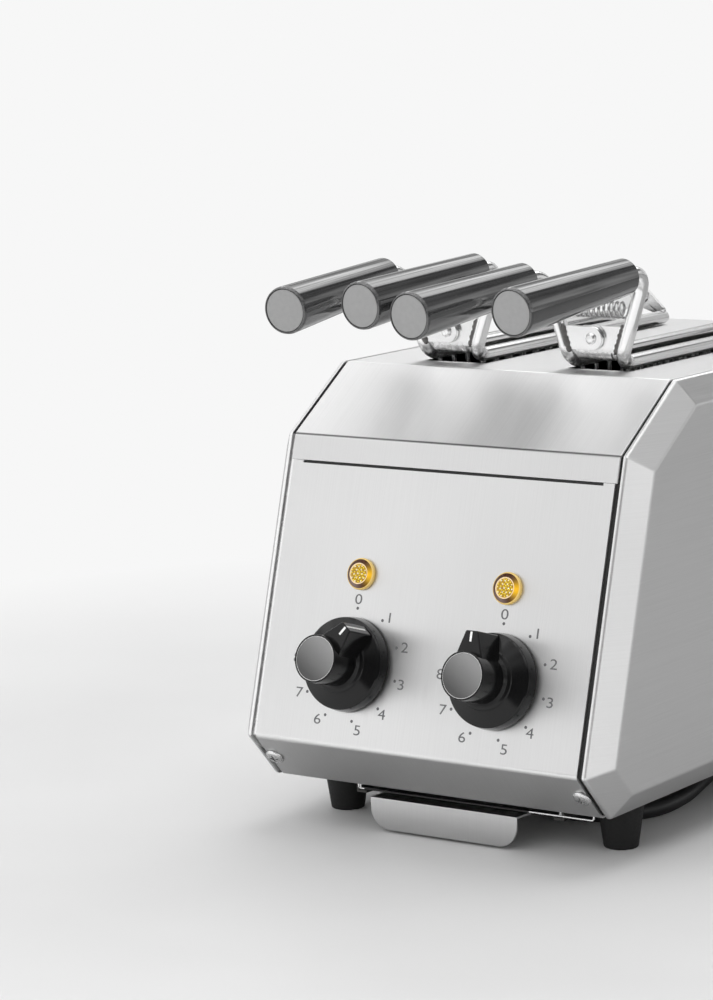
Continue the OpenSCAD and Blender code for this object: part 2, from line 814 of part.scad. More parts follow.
module slot_guard(t) {
    seat()
        for (s = [-1, 1])
            translate([t * slot_x + s * guard_off, 0, 0]) {
                for (z = [inner_base + 15, inner_top - 15])
                    bar([0, bulkhead_front + fit, z], [0, bulkhead_rear - fit, z], wire_d);
                for (i = [1 : guard_wires])
                    let (y = bulkhead_front + (bulkhead_rear - bulkhead_front) * i / (guard_wires + 1))
                        bar([0, y, inner_base + 6], [0, y, inner_top - 6], wire_d);
            }
}

module left_slot_guard() {
    color("silver")
        slot_guard(-1);
}

module right_slot_guard() {
    color("silver")
        slot_guard(1);
}

// Controls
module timer(s) {
    seat()
        on_panel(s * dial_x, dial_up)
            difference() {
                union() {
                    translate([-timer_w / 2, -timer_w / 2, -sheet - fit - timer_deep])
                        cube([timer_w, timer_w, timer_deep]);
                    translate([0, 0, -sheet - 2 * fit])
                        cylinder(h = sheet + 2 * fit + knob_gap / 2, r = neck_r);
                }
                translate([0, 0, -timer_deep / 2])
                    cylinder(h = timer_deep, d = shaft_d + 2 * run_fit);
            }
}

module left_timer() {
    color("dimgray")
        timer(-1);
}

module right_timer() {
    color("dimgray")
        timer(1);
}

module timer_shaft(s) {
    seat()
        on_panel(s * dial_x, dial_up)
            translate([0, 0, -timer_deep / 2 + fit])
                cylinder(h = timer_deep / 2 - fit + knob_gap + shaft_in_knob, d = shaft_d);
}

module left_timer_shaft() {
    color("silver")
        timer_shaft(-1);
}

module right_timer_shaft() {
    color("silver")
        timer_shaft(1);
}

module knob_body() {
    difference() {
        union() {
            rotate_extrude()
                polygon([[0, knob_gap], [knob_r - 0.6, knob_gap], [knob_r, knob_gap + 0.6],
                         [knob_rim_r, knob_rim_h], [knob_rim_r - 0.8, knob_rim_h + 0.5],
                         [grip_r + 1.2, knob_skirt_h - 0.5], [grip_r, knob_skirt_h + 0.8],
                         [grip_r, knob_h - knob_edge], [grip_r - knob_edge, knob_h], [0, knob_h]]);
            // Pointer
            translate([0, 0, knob_rim_h - 1])
                linear_extrude(pointer_h - knob_rim_h + 1)
                    polygon([[-pointer_w / 2, pointer_reach], [pointer_w / 2, pointer_reach],
                             [grip_r - 0.2, grip_r / 4], [-grip_r + 0.2, grip_r / 4]]);
        }
        cylinder(h = knob_gap + shaft_in_knob + fit, d = shaft_d + 2 * run_fit);
        translate([0, 0, knob_h - knob_cap_t])
            cylinder(h = 2 * knob_cap_t, r = grip_r - knob_cap_rim);
    }
}

module knob_cap() {
    translate([0, 0, knob_h - knob_cap_t])
        cylinder(h = knob_cap_t, r = grip_r - knob_cap_rim - fit);
}

module on_dial(s) {
    seat()
        on_panel(s * dial_x, dial_up)
            rotate([0, 0, s < 0 ? -left_dial_turn : 0])
                children();
}

module left_knob() {
    color("#1a1a1a")
        on_dial(-1)
            knob_body();
}

module right_knob() {
    color("#1a1a1a")
        on_dial(1)
            knob_body();
}

module left_knob_cap() {
    color("dimgray")
        on_dial(-1)
            knob_cap();
}

module right_knob_cap() {
    color("dimgray")
        on_dial(1)
            knob_cap();
}

module lamp(s) {
    seat()
        on_panel(s * dial_x, lamp_up)
            rotate_extrude()
                polygon([[0, 0], [lamp_r, 0], [lamp_r, 0.6], [lamp_r - 0.5, 1],
                         [lamp_face_r + 0.9, 1.2], [lamp_face_r, lamp_h - 0.2],
                         [lamp_face_r - 0.4, lamp_h], [0, lamp_h]]);
}

module left_lamp() {
    color("orange")
        lamp(-1);
}

module right_lamp() {
    color("orange")
        lamp(1);
}

module lamp_holders() {
    color("#222222")
        seat()
            for (s = [-1, 1])
                on_panel(s * dial_x, lamp_up)
                    translate([0, 0, -timer_deep + 6]) {
                        cylinder(h = timer_deep - 6, r = lamp_holder_r);
                        translate([0, 0, timer_deep - 6 - sheet - fit - 3])
                            cylinder(h = 3, r = lamp_r + 1);
                    }
}

module terminal_block() {
    color("ivory")
        seat()
            translate([slot_x, bulkhead_rear + sheet + fit, tube_z + tube_pitch / 2])
                difference() {
                    translate([-terminal_w / 2, 0, -terminal_h / 2])
                        cube([terminal_w, terminal_deep, terminal_h]);
                    for (i = [-1 : 1])
                        translate([i * terminal_w / 3, terminal_deep / 2, -terminal_h / 6])
                            cylinder(h = terminal_h, r = terminal_well_r);
                }
}

// Feet and screws
module foot(sx, y) {
    color("#181818")
        seat()
            translate([sx * foot_x, y, 0])
                difference() {
                    cylinder(h = base_z, d1 = foot_d, d2 = foot_top_d);
                    translate([0, 0, -1])
                        cylinder(h = 6, r = foot_screw_r + 1.7);
                    cylinder(h = base_z + 1, r = foot_screw_r + fit);
                }
}

module front_left_foot() {
    foot(-1, foot_y);
}

module front_right_foot() {
    foot(1, foot_y);
}

module rear_left_foot() {
    foot(-1, foot_rear_y);
}

module rear_right_foot() {
    foot(1, foot_rear_y);
}

module screws() {
    color("silver")
        seat() {
            at_feet()
                translate([0, 0, 2]) {
                    cylinder(h = 3 - fit, r = foot_screw_r + 1.5);
                    cylinder(h = base_z + sheet + 1, r = foot_screw_r);
                }
            at_panel_screws() {
                translate([0, 0, -3 * sheet - 2])
                    cylinder(h = 3 * sheet + 2.2, r = panel_screw_r);
                translate([0, 0, 0.1])
                    cylinder(h = 1, r1 = panel_screw_head_r, r2 = panel_screw_head_r - 0.8);
            }
        }
}

// Crumb tray
module tray_lip_shape() {
    difference() {
        translate([-tab_w / 2, tab_z])
            square([tab_w, tray_top - tab_z]);
        for (s = [-1, 1])
            translate([s * (tab_w / 2 - tab_r2), tab_z + tab_r2])
                difference() {
                    translate([s > 0 ? 0 : -tab_r2 - 1, -tab_r2 - 1])
                        square([tab_r2 + 1, tab_r2 + 1]);
                    circle(r = tab_r2);
                }
    }
}

module crumb_tray() {
    color("lightgray")
        seat() {
            translate([-tray_w / 2, tray_front, tray_low])
                difference() {
                    cube([tray_w, tray_rear - tray_front, sheet + tray_wall]);
                    translate([sheet, -1, sheet])
                        cube([tray_w - 2 * sheet, tray_rear - tray_front - sheet + 1, tray_wall + 1]);
                }
            translate([-tab_w / 2, tab_front, tray_low])
                cube([tab_w, tray_front - tab_front + 1, sheet]);
            along_y(tab_front, tab_front + sheet)
                tray_lip_shape();
        }
}

module tray_rails() {
    color("lightgray")
        seat()
            for (s = [-1, 1])
                mirror([s < 0 ? 1 : 0, 0, 0]) {
                    translate([rail_web, tray_front, tray_low - tray_fit - sheet])
                        cube([sheet, tray_rear - tray_front, base_z - tray_low + tray_fit + sheet]);
                    translate([rail_web - 4, tray_front, tray_low - tray_fit - sheet])
                        cube([4 + sheet, tray_rear - tray_front, sheet]);
                    translate([rail_web, tray_front, base_z - sheet])
                        cube([6, tray_rear - tray_front, sheet]);
                }
}

// Tongs: t is the side of the tong on the object, s the side of the half in its tong
module on_tong(t) {
    seat()
        translate([t * slot_x, 0, 0])
            children();
}

// The bends are a trace thicker than the straight stretches, which reach a little way into them
module tong_rod(t, s) {
    P = rod_path(t, s);
    top_in = bend_start(P[0], P[1], P[2], upper_bend);
    top_out = bend_start(P[2], P[1], P[0], upper_bend);
    low_in = bend_start(P[1], P[2], P[3], lower_bend);
    low_out = bend_start(P[3], P[2], P[1], lower_bend);
    lap = 0.4;
    color("gainsboro")
        on_tong(t) {
            bar(P[0], top_in + lap * unit(P[1] - P[0]), rod_d);
            bar_bend(P[0], P[1], P[2], upper_bend, rod_d + 0.1);
            bar(top_out - lap * unit(P[2] - P[1]), low_in + lap * unit(P[2] - P[1]), rod_d);
            bar_bend(P[1], P[2], P[3], lower_bend, rod_d + 0.1);
            bar(low_out - lap * unit(P[3] - P[2]), P[3], rod_d);
            translate(P[3])
                sphere(d = rod_d - 0.1);
        }
}

module tong_grid(t, s) {
    color("silver")
        on_tong(t) {
            for (y = cage_ys) {
                bar([s * cage_x, y, cage_z - wire_d / 2], [s * cage_x, y, rod_z - rod_r - fit], wire_d);
                bar([s * (cage_x - wire_d / 2 - fit), y, cage_z], [s * cage_floor_gap / 2, y, cage_z],
                    wire_d);
            }
            for (z = cage_rail_zs)
                bar([s * rail_x, cage_first - wire_d, z], [s * rail_x, cage_last + wire_d, z], wire_d);
        }
}

module tong_handle(t, s) {
    r = handle_d / 2;
    q = handle_rear_d / 2;
    e = handle_edge;
    bore = rod_r + run_fit;
    stop = handle_len - rod_in_handle - 1;
    color("#2b2b2b")
        on_tong(t)
            translate(handle_rear(t, s) - handle_len * handle_dir(yaw_of(t, s)))
                rotate([handle_tilt - 90, 0, -yaw_of(t, s)])
                    rotate_extrude()
                        polygon([[0, 0], [r - e, 0], [r - 0.3 * e, 0.3 * e], [r, e],
                                 [q, handle_len - e], [q - 0.3 * e, handle_len - 0.3 * e],
                                 [q - e, handle_len], [bore, handle_len], [bore, stop], [0, stop]]);
}

module pivot_bore() {
    translate([0, tab_y - 5, pivot_z])
        rotate([-90, 0, 0])
            cylinder(h = 2 * plate_t + 10, r = rivet_d / 2 + run_fit);
}

// Flat link from a circle at a to a smaller one at b, with straight sides that touch both
module link(a, ra, b, rb) {
    turn = atan2(b[1] - a[1], b[0] - a[0]);
    side = acos((ra - rb) / norm(b - a));
    translate(a)
        circle(r = ra);
    translate(b)
        circle(r = rb);
    polygon([a + ra * [cos(turn - side), sin(turn - side)], b + rb * [cos(turn - side), sin(turn - side)],
             b + rb * [cos(turn + side), sin(turn + side)], a + ra * [cos(turn + side), sin(turn + side)]]);
}

// Ear that stands on a rod behind the slot and carries a tong's second rivet
module rear_ear(s, y) {
    difference() {
        along_y(y, y + plate_t)
            link([0, pivot_z], tab_r, [s * rod_x, rod_z + rod_r], plate_t);
        translate([s * rod_x, y - 1, rod_z])
            rotate([-90, 0, 0])
                cylinder(h = plate_t + 2, r = rod_r + fit);
        translate([0, rear_shift, 0])
            pivot_bore();
    }
}

module hinge_tab(t) {
    low = pivot_z - tab_r + 0.1;
    high = pivot_z + tab_r - 0.1;
    color("gainsboro")
        on_tong(t) {
            difference() {
                along_y(tab_y, tab_y + plate_t) {
                    translate([0, pivot_z])
                        circle(r = tab_r);
                    polygon([[0, low], [0, high], [upright_seat - upright_x(-1, high), high],
                             [upright_seat - upright_x(-1, low), low]]);
                }
                pivot_bore();
            }
            rear_ear(-1, tab_y + rear_shift);
        }
}

module hinge_plate(t) {
    color("gainsboro")
        on_tong(t) {
            difference() {
                union() {
                    along_y(plate_y, plate_y + plate_t)
                        polygon([[2 - plate_reach, plate_low],
                                 [upright_x(1, plate_low) - upright_seat, plate_low],
                                 [upright_x(1, plate_high) - upright_seat, plate_high],
                                 [4 - plate_reach, plate_high], [-plate_reach, pivot_z + 1],
                                 [-plate_reach, pivot_z - 1]]);
                    // Lower edge rolled to the back between the rods
                    bent_sheet([[plate_y + plate_t + 4, plate_low - 3.5], [plate_y, plate_low - 3.5],
                                [plate_y, plate_low + 1]], 2 * (rod_x - rod_r - 0.9), plate_t);
                }
                pivot_bore();
            }
            rear_ear(1, plate_y + rear_shift);
        }
}

module tong_rivet(t) {
    head_h = 1.2;
    color("gainsboro")
        on_tong(t)
            for (shift = [0, rear_shift])
                translate([0, tab_y + shift - fit - head_h, pivot_z])
                    rotate([-90, 0, 0]) {
                        cylinder(h = head_h, r1 = rivet_head_r - 0.7, r2 = rivet_head_r);
                        cylinder(h = 2 * (plate_t + fit + head_h) + plate_gap, d = rivet_d);
                        translate([0, 0, head_h + 2 * (plate_t + fit) + plate_gap])
                            cylinder(h = head_h, r1 = rivet_head_r, r2 = rivet_head_r - 0.7);
                    }
}

module tong_spring(t) {
    color("silver")
        on_tong(t)
            tube(spring_points(), spring_wire, 6);
}

module left_tong_left_rod() { tong_rod(-1, -1); }
module left_tong_right_rod() { tong_rod(-1, 1); }
module left_tong_left_grid() { tong_grid(-1, -1); }
module left_tong_right_grid() { tong_grid(-1, 1); }
module left_tong_left_handle() { tong_handle(-1, -1); }
module left_tong_right_handle() { tong_handle(-1, 1); }
module left_tong_hinge_tab() { hinge_tab(-1); }
module left_tong_hinge_plate() { hinge_plate(-1); }
module left_tong_rivet() { tong_rivet(-1); }
module left_tong_spring() { tong_spring(-1); }
module right_tong_left_rod() { tong_rod(1, -1); }
module right_tong_right_rod() { tong_rod(1, 1); }
module right_tong_left_grid() { tong_grid(1, -1); }
module right_tong_right_grid() { tong_grid(1, 1); }
module right_tong_left_handle() { tong_handle(1, -1); }
module right_tong_right_handle() { tong_handle(1, 1); }
module right_tong_hinge_tab() { hinge_tab(1); }
module right_tong_hinge_plate() { hinge_plate(1); }
module right_tong_rivet() { tong_rivet(1); }
module right_tong_spring() { tong_spring(1); }

// Cord
module cord_gland() {
    color("#181818")
        seat()
            on_rear(gland_x, gland_z)
                rotate_extrude()
                    polygon([[0, -6], [cord_d + 1.5, -6], [cord_d + 1.5, -sheet - fit],
                             [cord_d - fit, -sheet - fit],
                             [cord_d - fit, fit], [cord_d + 2, fit], [cord_d + 2, 2.5], [cord_d, 3.5],
                             [cord_d / 2 + 1, gland_len], [0, gland_len]]);
}

module cord_lead() {
    color("#181818")
        tube(smooth(CORD_ROUTE, 2), cord_d, 10);
}

module cord_coil() {
    color("#181818")
        tube(coil_points(), cord_d, 6);
}

module cord_tail() {
    color("#181818")
        tube(concat([tail_start - [fit, 0, 0]], smooth(TAIL_ROUTE, 2), [plug_tip]), cord_d, 10);
}

module rounded_box(w, h, r) {
    translate([r, 0])
        square([w - 2 * r, h]);
    translate([0, r])
        square([w, h - 2 * r]);
    for (x = [r, w - r], y = [r, h - r])
        translate([x, y])
            circle(r = r);
}

module cord_tie() {
    wall = coil_z - cord_d / 2 - fit;
    inner = coil_r - coil_step * coil_turns / 2 - cord_d / 2 - 2;
    outer = coil_r + cord_d / 2 + 0.5;
    high = coil_z + coil_step + cord_d / 2 + 0.3;
    color("#303030")
        translate([coil_mid[0], coil_mid[1], 0])
            rotate([0, 0, -60])
                along_y(-6, 6)
                    difference() {
                        translate([inner - wall, 0])
                            rounded_box(outer - inner + 2 * wall, high + wall, 2.4);
                        translate([inner, wall])
                            rounded_box(outer - inner, high - wall, 1.2);
                    }
}

module plug_body() {
    r = plug_d / 2;
    color("#181818")
        translate(plug_tip)
            rotate([0, -90, 0])
                rotate_extrude()
                    polygon([[0, 0.1], [cord_d / 2 + 1, 0.1], [cord_d, relief_len], [r - 5, relief_len + 2],
                             [r - 1.5, relief_len + 6], [r, relief_len + 12], [r, relief_len + plug_len - 1],
                             [r - 1, relief_len + plug_len], [0, relief_len + plug_len]]);
}

module plug_pins() {
    color("silver")
        translate(plug_tip)
            rotate([0, -90, 0])
                for (s = [-1, 1])
                    translate([0, s * pin_gap / 2, relief_len + plug_len]) {
                        cylinder(h = pin_len - pin_d / 2, d = pin_d);
                        translate([0, 0, pin_len - pin_d / 2])
                            sphere(d = pin_d);
                    }
}

base_plate();
front_panel();
top_cover();
rear_panel();
left_side_panel();
right_side_panel();
front_bulkhead();
rear_bulkhead();
heat_shields();
quartz_tubes();
tube_sockets();
left_slot_guard();
right_slot_guard();
left_timer();
right_timer();
left_timer_shaft();
right_timer_shaft();
left_knob();
right_knob();
left_knob_cap();
right_knob_cap();
left_lamp();
right_lamp();
lamp_holders();
terminal_block();
front_left_foot();
front_right_foot();
rear_left_foot();
rear_right_foot();
screws();
crumb_tray();
tray_rails();
left_tong_left_rod();
left_tong_right_rod();
left_tong_left_grid();
left_tong_right_grid();
left_tong_left_handle();
left_tong_right_handle();
left_tong_hinge_tab();
left_tong_hinge_plate();
left_tong_rivet();
left_tong_spring();
right_tong_left_rod();
right_tong_right_rod();
right_tong_left_grid();
right_tong_right_grid();
right_tong_left_handle();
right_tong_right_handle();
right_tong_hinge_tab();
right_tong_hinge_plate();
right_tong_rivet();
right_tong_spring();
cord_gland();
cord_lead();
cord_coil();
cord_tail();
cord_tie();
plug_body();
plug_pins();
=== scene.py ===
# %% [markdown]
# # A two-slot sandwich toaster
# The object is a box of folded stainless steel with two slots in its top. A pair of spring tongs stands
# in each slot and carries a sandwich between two wire grids. The front has two timer dials, two amber
# lamps and a pull-out crumb tray. The frame brings the solids and their joints, and this lesson dresses
# them. Everything is in metres, with X to the right, Y to the back and Z up.

# %% Load the frame
import json
from math import asin, atan2, cos, degrees, exp, hypot, pi, radians, sin, tan

import bmesh
import bpy
from mathutils import Matrix, Vector


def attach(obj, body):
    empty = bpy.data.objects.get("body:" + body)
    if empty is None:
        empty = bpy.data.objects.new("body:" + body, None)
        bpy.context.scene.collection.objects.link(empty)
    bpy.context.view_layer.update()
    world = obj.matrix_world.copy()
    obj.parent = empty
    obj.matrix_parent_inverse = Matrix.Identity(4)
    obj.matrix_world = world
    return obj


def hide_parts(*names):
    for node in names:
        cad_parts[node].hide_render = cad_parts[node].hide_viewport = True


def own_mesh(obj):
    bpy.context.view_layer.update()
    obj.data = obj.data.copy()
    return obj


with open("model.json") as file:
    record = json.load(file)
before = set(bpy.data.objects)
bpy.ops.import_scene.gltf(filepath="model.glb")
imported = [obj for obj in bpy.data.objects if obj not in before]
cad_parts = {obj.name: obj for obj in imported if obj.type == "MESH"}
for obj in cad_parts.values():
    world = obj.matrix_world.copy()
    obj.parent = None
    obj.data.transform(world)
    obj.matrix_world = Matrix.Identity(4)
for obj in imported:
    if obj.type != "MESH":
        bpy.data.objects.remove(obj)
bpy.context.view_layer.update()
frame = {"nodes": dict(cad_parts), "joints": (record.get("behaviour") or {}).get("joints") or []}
nodes = frame["nodes"]
joints = {joint["name"]: joint for joint in frame["joints"]}

# %% [markdown]
# ## Where things stand
# Most sizes below were worked out from the photograph, in millimetres from the foot of the front panel.
# That foot can be found again from the timer dial's joint, which is a known way up the panel. One function
# then turns bench millimetres into the frame's metres, and another lays flat work onto the leaning panel.

# %% Bench and panel places
MM = 0.001
X, Y, Z = (Vector(row) for row in Matrix.Identity(3))
DIAL_X = 35.7
DIAL_UP = 34.2
LAMP_UP = 71.8
HALVES = {-1: "left", 1: "right"}
dial_turn = joints["right_knob_turn"]
panel_out = -Vector(dial_turn["axis"]).normalized()
panel_up = panel_out.cross(X)
panel_foot = Vector(dial_turn["pos_m"]) - panel_up * DIAL_UP * MM
panel_foot.x = 0


def bench(x, y, z):
    return Vector((x * MM, y * MM + panel_foot.y, z * MM))


def frame_of(across, up, out, origin):
    matrix = Matrix((across, up, out)).transposed().to_4x4()
    matrix.translation = origin
    return matrix


def on_panel(x, up, turn=0.0):
    origin = panel_foot + (X * x + panel_up * up) * MM
    place = frame_of(X, panel_up, panel_out, origin)
    return place @ Matrix.Rotation(radians(turn), 4, "Z")


print("panel foot", [round(v, 5) for v in panel_foot])

# %% [markdown]
# ## Camera
# The view was fitted to the edges of the steel box: a long lens, some 35 degrees round to the right,
# looking a little down. Three turns in a row give that view, without a tracking constraint, and the last
# one keeps the small roll of the photograph.

# %% Camera
FOCAL_PIXELS = 3511.5
VIEW_HEIGHT_PIXELS = 1000
CAMERA_PLACE = (785.42, -1142.35, 370.83)
CAMERA_TURNS = ((35.295, "Z"), (90 - 9.207, "X"), (-1.627, "Z"))


def show(name, data):
    piece = bpy.data.objects.new(name, data)
    bpy.context.scene.collection.objects.link(piece)
    return piece


camera_data = bpy.data.cameras.new("camera")
camera_data.sensor_fit = "VERTICAL"
camera_data.sensor_height = 36
camera_data.lens = FOCAL_PIXELS * camera_data.sensor_height / VIEW_HEIGHT_PIXELS
view = Matrix.Translation(bench(*CAMERA_PLACE))
for angle, axis in CAMERA_TURNS:
    view = view @ Matrix.Rotation(radians(angle), 4, axis)
camera = show("camera", camera_data)
camera.matrix_world = view
bpy.context.scene.camera = camera
print("lens", round(camera_data.lens, 2), "mm")

# %% [markdown]
# ## Finishes
# Every finish is built from nodes, on Object coordinates so that its grain has the same size on every
# piece. A few small helpers add a node with its values and feed the shader. One number stands for a
# grey. Numbers that don't change over the surface stay on the shader's own sockets.

# %% Node helpers
def triple(value):
    return value if isinstance(value, tuple) else (value,) * 3


def set_values(node, values):
    for name, value in values.items():
        node.inputs[name.replace("_", " ")].default_value = value
    return node


def add_node(tree, kind, **values):
    return set_values(tree.nodes.new("ShaderNode" + kind), values)


def new_finish(name, colour, **values):
    finish = bpy.data.materials.new(name)
    finish.use_nodes = True
    set_values(finish.node_tree.nodes["Principled BSDF"], {"Base Color": (*triple(colour), 1), **values})
    return finish, finish.node_tree


def feed(tree, socket, value):
    tree.links.new(value, tree.nodes["Principled BSDF"].inputs[socket])


def object_place(tree):
    return add_node(tree, "TexCoord").outputs["Object"]


def split(tree, vector):
    parts = add_node(tree, "SeparateXYZ")
    tree.links.new(vector, parts.inputs["Vector"])
    return parts.outputs


def length_of(tree, vector):
    length = add_node(tree, "VectorMath")
    length.operation = "LENGTH"
    tree.links.new(vector, length.inputs[0])
    return length.outputs["Value"]


def grain(tree, scale, detail=3.0, place=None):
    stretch = add_node(tree, "Mapping", Scale=triple(scale))
    noise = add_node(tree, "TexNoise", Scale=1.0, Detail=detail)
    tree.links.new(place or object_place(tree), stretch.inputs["Vector"])
    tree.links.new(stretch.outputs["Vector"], noise.inputs["Vector"])
    return noise.outputs["Fac"]


def spread(tree, value, low, high, start=0.3, end=0.7):
    span = add_node(tree, "MapRange", From_Min=start, From_Max=end, To_Min=low, To_Max=high)
    tree.links.new(value, span.inputs["Value"])
    return span.outputs["Result"]


def combine(tree, operation, first, *others):
    for other in others:
        step = add_node(tree, "Math")
        step.operation = operation
        tree.links.new(first, step.inputs[0])
        tree.links.new(other, step.inputs[1])
        first = step.outputs["Value"]
    return first


def two_tone(tree, value, first, second):
    mix = add_node(tree, "Mix")
    mix.data_type = "RGBA"
    tree.links.new(value, mix.inputs["Factor"])
    colour_sockets = [socket for socket in mix.inputs if socket.type == "RGBA"]
    for socket, tone in zip(colour_sockets, (first, second)):
        if isinstance(tone, (int, float, tuple)):
            socket.default_value = (*triple(tone), 1)
        else:
            tree.links.new(tone, socket)
    return [socket for socket in mix.outputs if socket.type == "RGBA"][0]


def blend(tree, factor, first, second):
    mix = add_node(tree, "MixShader")
    for value, socket in zip((factor, first, second), mix.inputs):
        tree.links.new(value, socket)
    return mix.outputs["Shader"]


def relief(tree, value, strength, distance=0.0001):
    bump = add_node(tree, "Bump", Strength=strength, Distance=distance)
    tree.links.new(value, bump.inputs["Height"])
    feed(tree, "Normal", bump.outputs["Normal"])


print("node helpers ready")

# %% [markdown]
# ## Brushed stainless steel
# The sheets were ground with a belt, which leaves fine scratches in one direction: up and down on the
# front and over the top, level on the side panels. A noise that is squeezed across the scratches and
# drawn out along them gives those lines. It varies the roughness and the height a little, and a slow
# second noise leaves the faint cloudiness of a wiped panel. Scratches smear a reflection across their own
# direction, so the shader is anisotropic, and a UV map called brushing tells it which way is across.

# %% Brushed steel
def textured(name, colour, roughness, scale, detail, tones, swing, bump, depth=0.0001, **values):
    finish, tree = new_finish(name, colour, Roughness=roughness, **values)
    marks = grain(tree, scale, detail)
    dark, light = (tuple(min(1.0, v * tone) for v in triple(colour)) for tone in tones)
    feed(tree, "Base Color", two_tone(tree, spread(tree, marks, 0, 1), dark, light))
    rough = spread(tree, marks, max(0.02, roughness + swing[0]), roughness + swing[1])
    feed(tree, "Roughness", rough)
    relief(tree, marks, bump, depth)
    return finish, tree, rough


def brushed_steel(name, scratch, colour, roughness, smear=0.0):
    finish, tree, rough = textured(name, colour, roughness, scratch, 4.0, (0.965, 1.02), (-0.04, 0.05),
                                   0.06, Metallic=1.0, Anisotropic=smear)
    clouds = spread(tree, grain(tree, 9, 2.0), -0.02, 0.03)
    feed(tree, "Roughness", combine(tree, "ADD", rough, clouds))
    if smear:
        across = add_node(tree, "Tangent")
        across.direction_type = "UV_MAP"
        across.uv_map = "brushing"
        feed(tree, "Tangent", across.outputs["Tangent"])
    return finish


ALONG = 25
ACROSS = 2600
UP_AND_DOWN = (ACROSS, ALONG, ALONG)
steel_front = brushed_steel("steel_brushed_up", UP_AND_DOWN, 0.8, 0.36, 0.75)
steel_side = brushed_steel("steel_brushed_level", (ALONG, ALONG, ACROSS), 0.84, 0.36, 0.6)
steel_inner = brushed_steel("steel_inside", 300, 0.5, 0.42)
steel_sooty = brushed_steel("steel_sooty", 300, (0.1, 0.098, 0.095), 0.5)
print("brushed steels", 4)

# %% [markdown]
# ## Bright wire, plastics and rubber
# The tong rods and springs are bright plated wire with faint drawing marks. Handles and knobs are glossy
# moulded plastic, whose surface is never quite even, so its roughness and height wander slowly. Rubber
# is rough, with a fine powdery bloom.

# %% Other finishes
def bright_wire(name, colour, roughness):
    return textured(name, colour, roughness, (900, 900, 120), 3.0, (0.92, 1), (-0.05, 0.1), 0.12,
                    Metallic=1.0)[0]


def moulded(name, colour, roughness, wander, bump, scale, tone=0.12, ior=1.45):
    return textured(name, colour, roughness, scale, 4.0, (1 - tone, 1 + tone), (-wander, wander), bump,
                    0.0002, IOR=ior)[0]


wire_bright = bright_wire("wire_plated", 0.88, 0.22)
wire_spring = bright_wire("wire_spring", 0.5, 0.14)
weld_dark = bright_wire("weld_heat_stained", (0.2, 0.195, 0.19), 0.5)
pin_metal = bright_wire("pin_nickel", (0.72, 0.68, 0.58), 0.24)
handle_gloss = moulded("handle_moulding", (0.04, 0.04, 0.041), 0.08, 0.03, 0.02, 90, ior=2.05)
handle_matt = moulded("handle_end_disc", 0.285, 0.6, 0.06, 0.04, 500, 0.04)
knob_gloss = moulded("knob_moulding", (0.004, 0.004, 0.0043), 0.15, 0.04, 0.03, 120, ior=1.38)
black_matt = moulded("black_moulding", 0.03, 0.45, 0.08, 0.15, 700)
foot_rubber = moulded("foot_rubber", 0.013, 0.6, 0.1, 0.25, 900)
cord_rubber = moulded("cord_sheath", (0.025, 0.025, 0.026), 0.42, 0.08, 0.15, 800)
ceramic = moulded("fired_ceramic", (0.78, 0.75, 0.68), 0.5, 0.1, 0.2, 600)
print_ink = moulded("printed_ink", (0.12, 0.12, 0.125), 0.5, 0.05, 0.05, 1200)
white_ink = moulded("white_ink", (0.85, 0.85, 0.84), 0.45, 0.05, 0.05, 1200)
# A near-black finish for painted shade, put where gaps, grooves and lips behind seams lie in shade.
painted_gap_shade = moulded("seam_shadow", 0.016, 0.7, 0.1, 0.1, 900)
print("other finishes", 14)

# %% [markdown]
# ## Shaping tools
# A lathe turns a half profile round an axis, which suits knobs, feet and handles. A sweep draws a round
# bar along a path, which suits bent rods. Every tool leaves the place of a piece in its mesh and the
# object at the origin, so that the joints of the frame can carry it.

# %% Plain meshes
def shade(piece, sharp):
    piece.data.polygons.foreach_set("use_smooth", [True] * len(piece.data.polygons))
    piece.data.set_sharp_from_angle(angle=radians(sharp))
    return piece


def face_outward(mesh, merge=1e-7, flat=0.0):
    shape = bmesh.new()
    shape.from_mesh(mesh)
    bmesh.ops.remove_doubles(shape, verts=shape.verts, dist=merge)
    if flat:
        bmesh.ops.dissolve_limit(shape, angle_limit=radians(flat), verts=shape.verts,
                                 edges=shape.edges)
    bmesh.ops.recalc_face_normals(shape, faces=shape.faces)
    shape.to_mesh(mesh)
    shape.free()


def recoat(mesh, finish):
    mesh.materials.clear()
    mesh.materials.append(finish)


def new_piece(name, points, faces, finish, sharp=35):
    mesh = bpy.data.meshes.new(name)
    mesh.from_pydata([tuple(point) for point in points], [], faces)
    recoat(mesh, finish)
    face_outward(mesh)
    return shade(show(name, mesh), sharp)


def evaluated_mesh(piece):
    graph = bpy.context.evaluated_depsgraph_get()
    return bpy.data.meshes.new_from_object(piece.evaluated_get(graph), depsgraph=graph)


def baked(piece):
    mesh = evaluated_mesh(piece)
    piece.modifiers.clear()
    piece.data = mesh
    return piece


def joined(name, pieces):
    with bpy.context.temp_override(active_object=pieces[0], selected_editable_objects=pieces):
        bpy.ops.object.join()
    pieces[0].name = name
    return pieces[0]


def settle(piece, body, slot, *stands_for):
    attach(piece, body)
    if stands_for:
        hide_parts(*stands_for)
    print(piece.name, len(piece.data.polygons), "faces on", body)
    return piece


print("mesh tools ready")

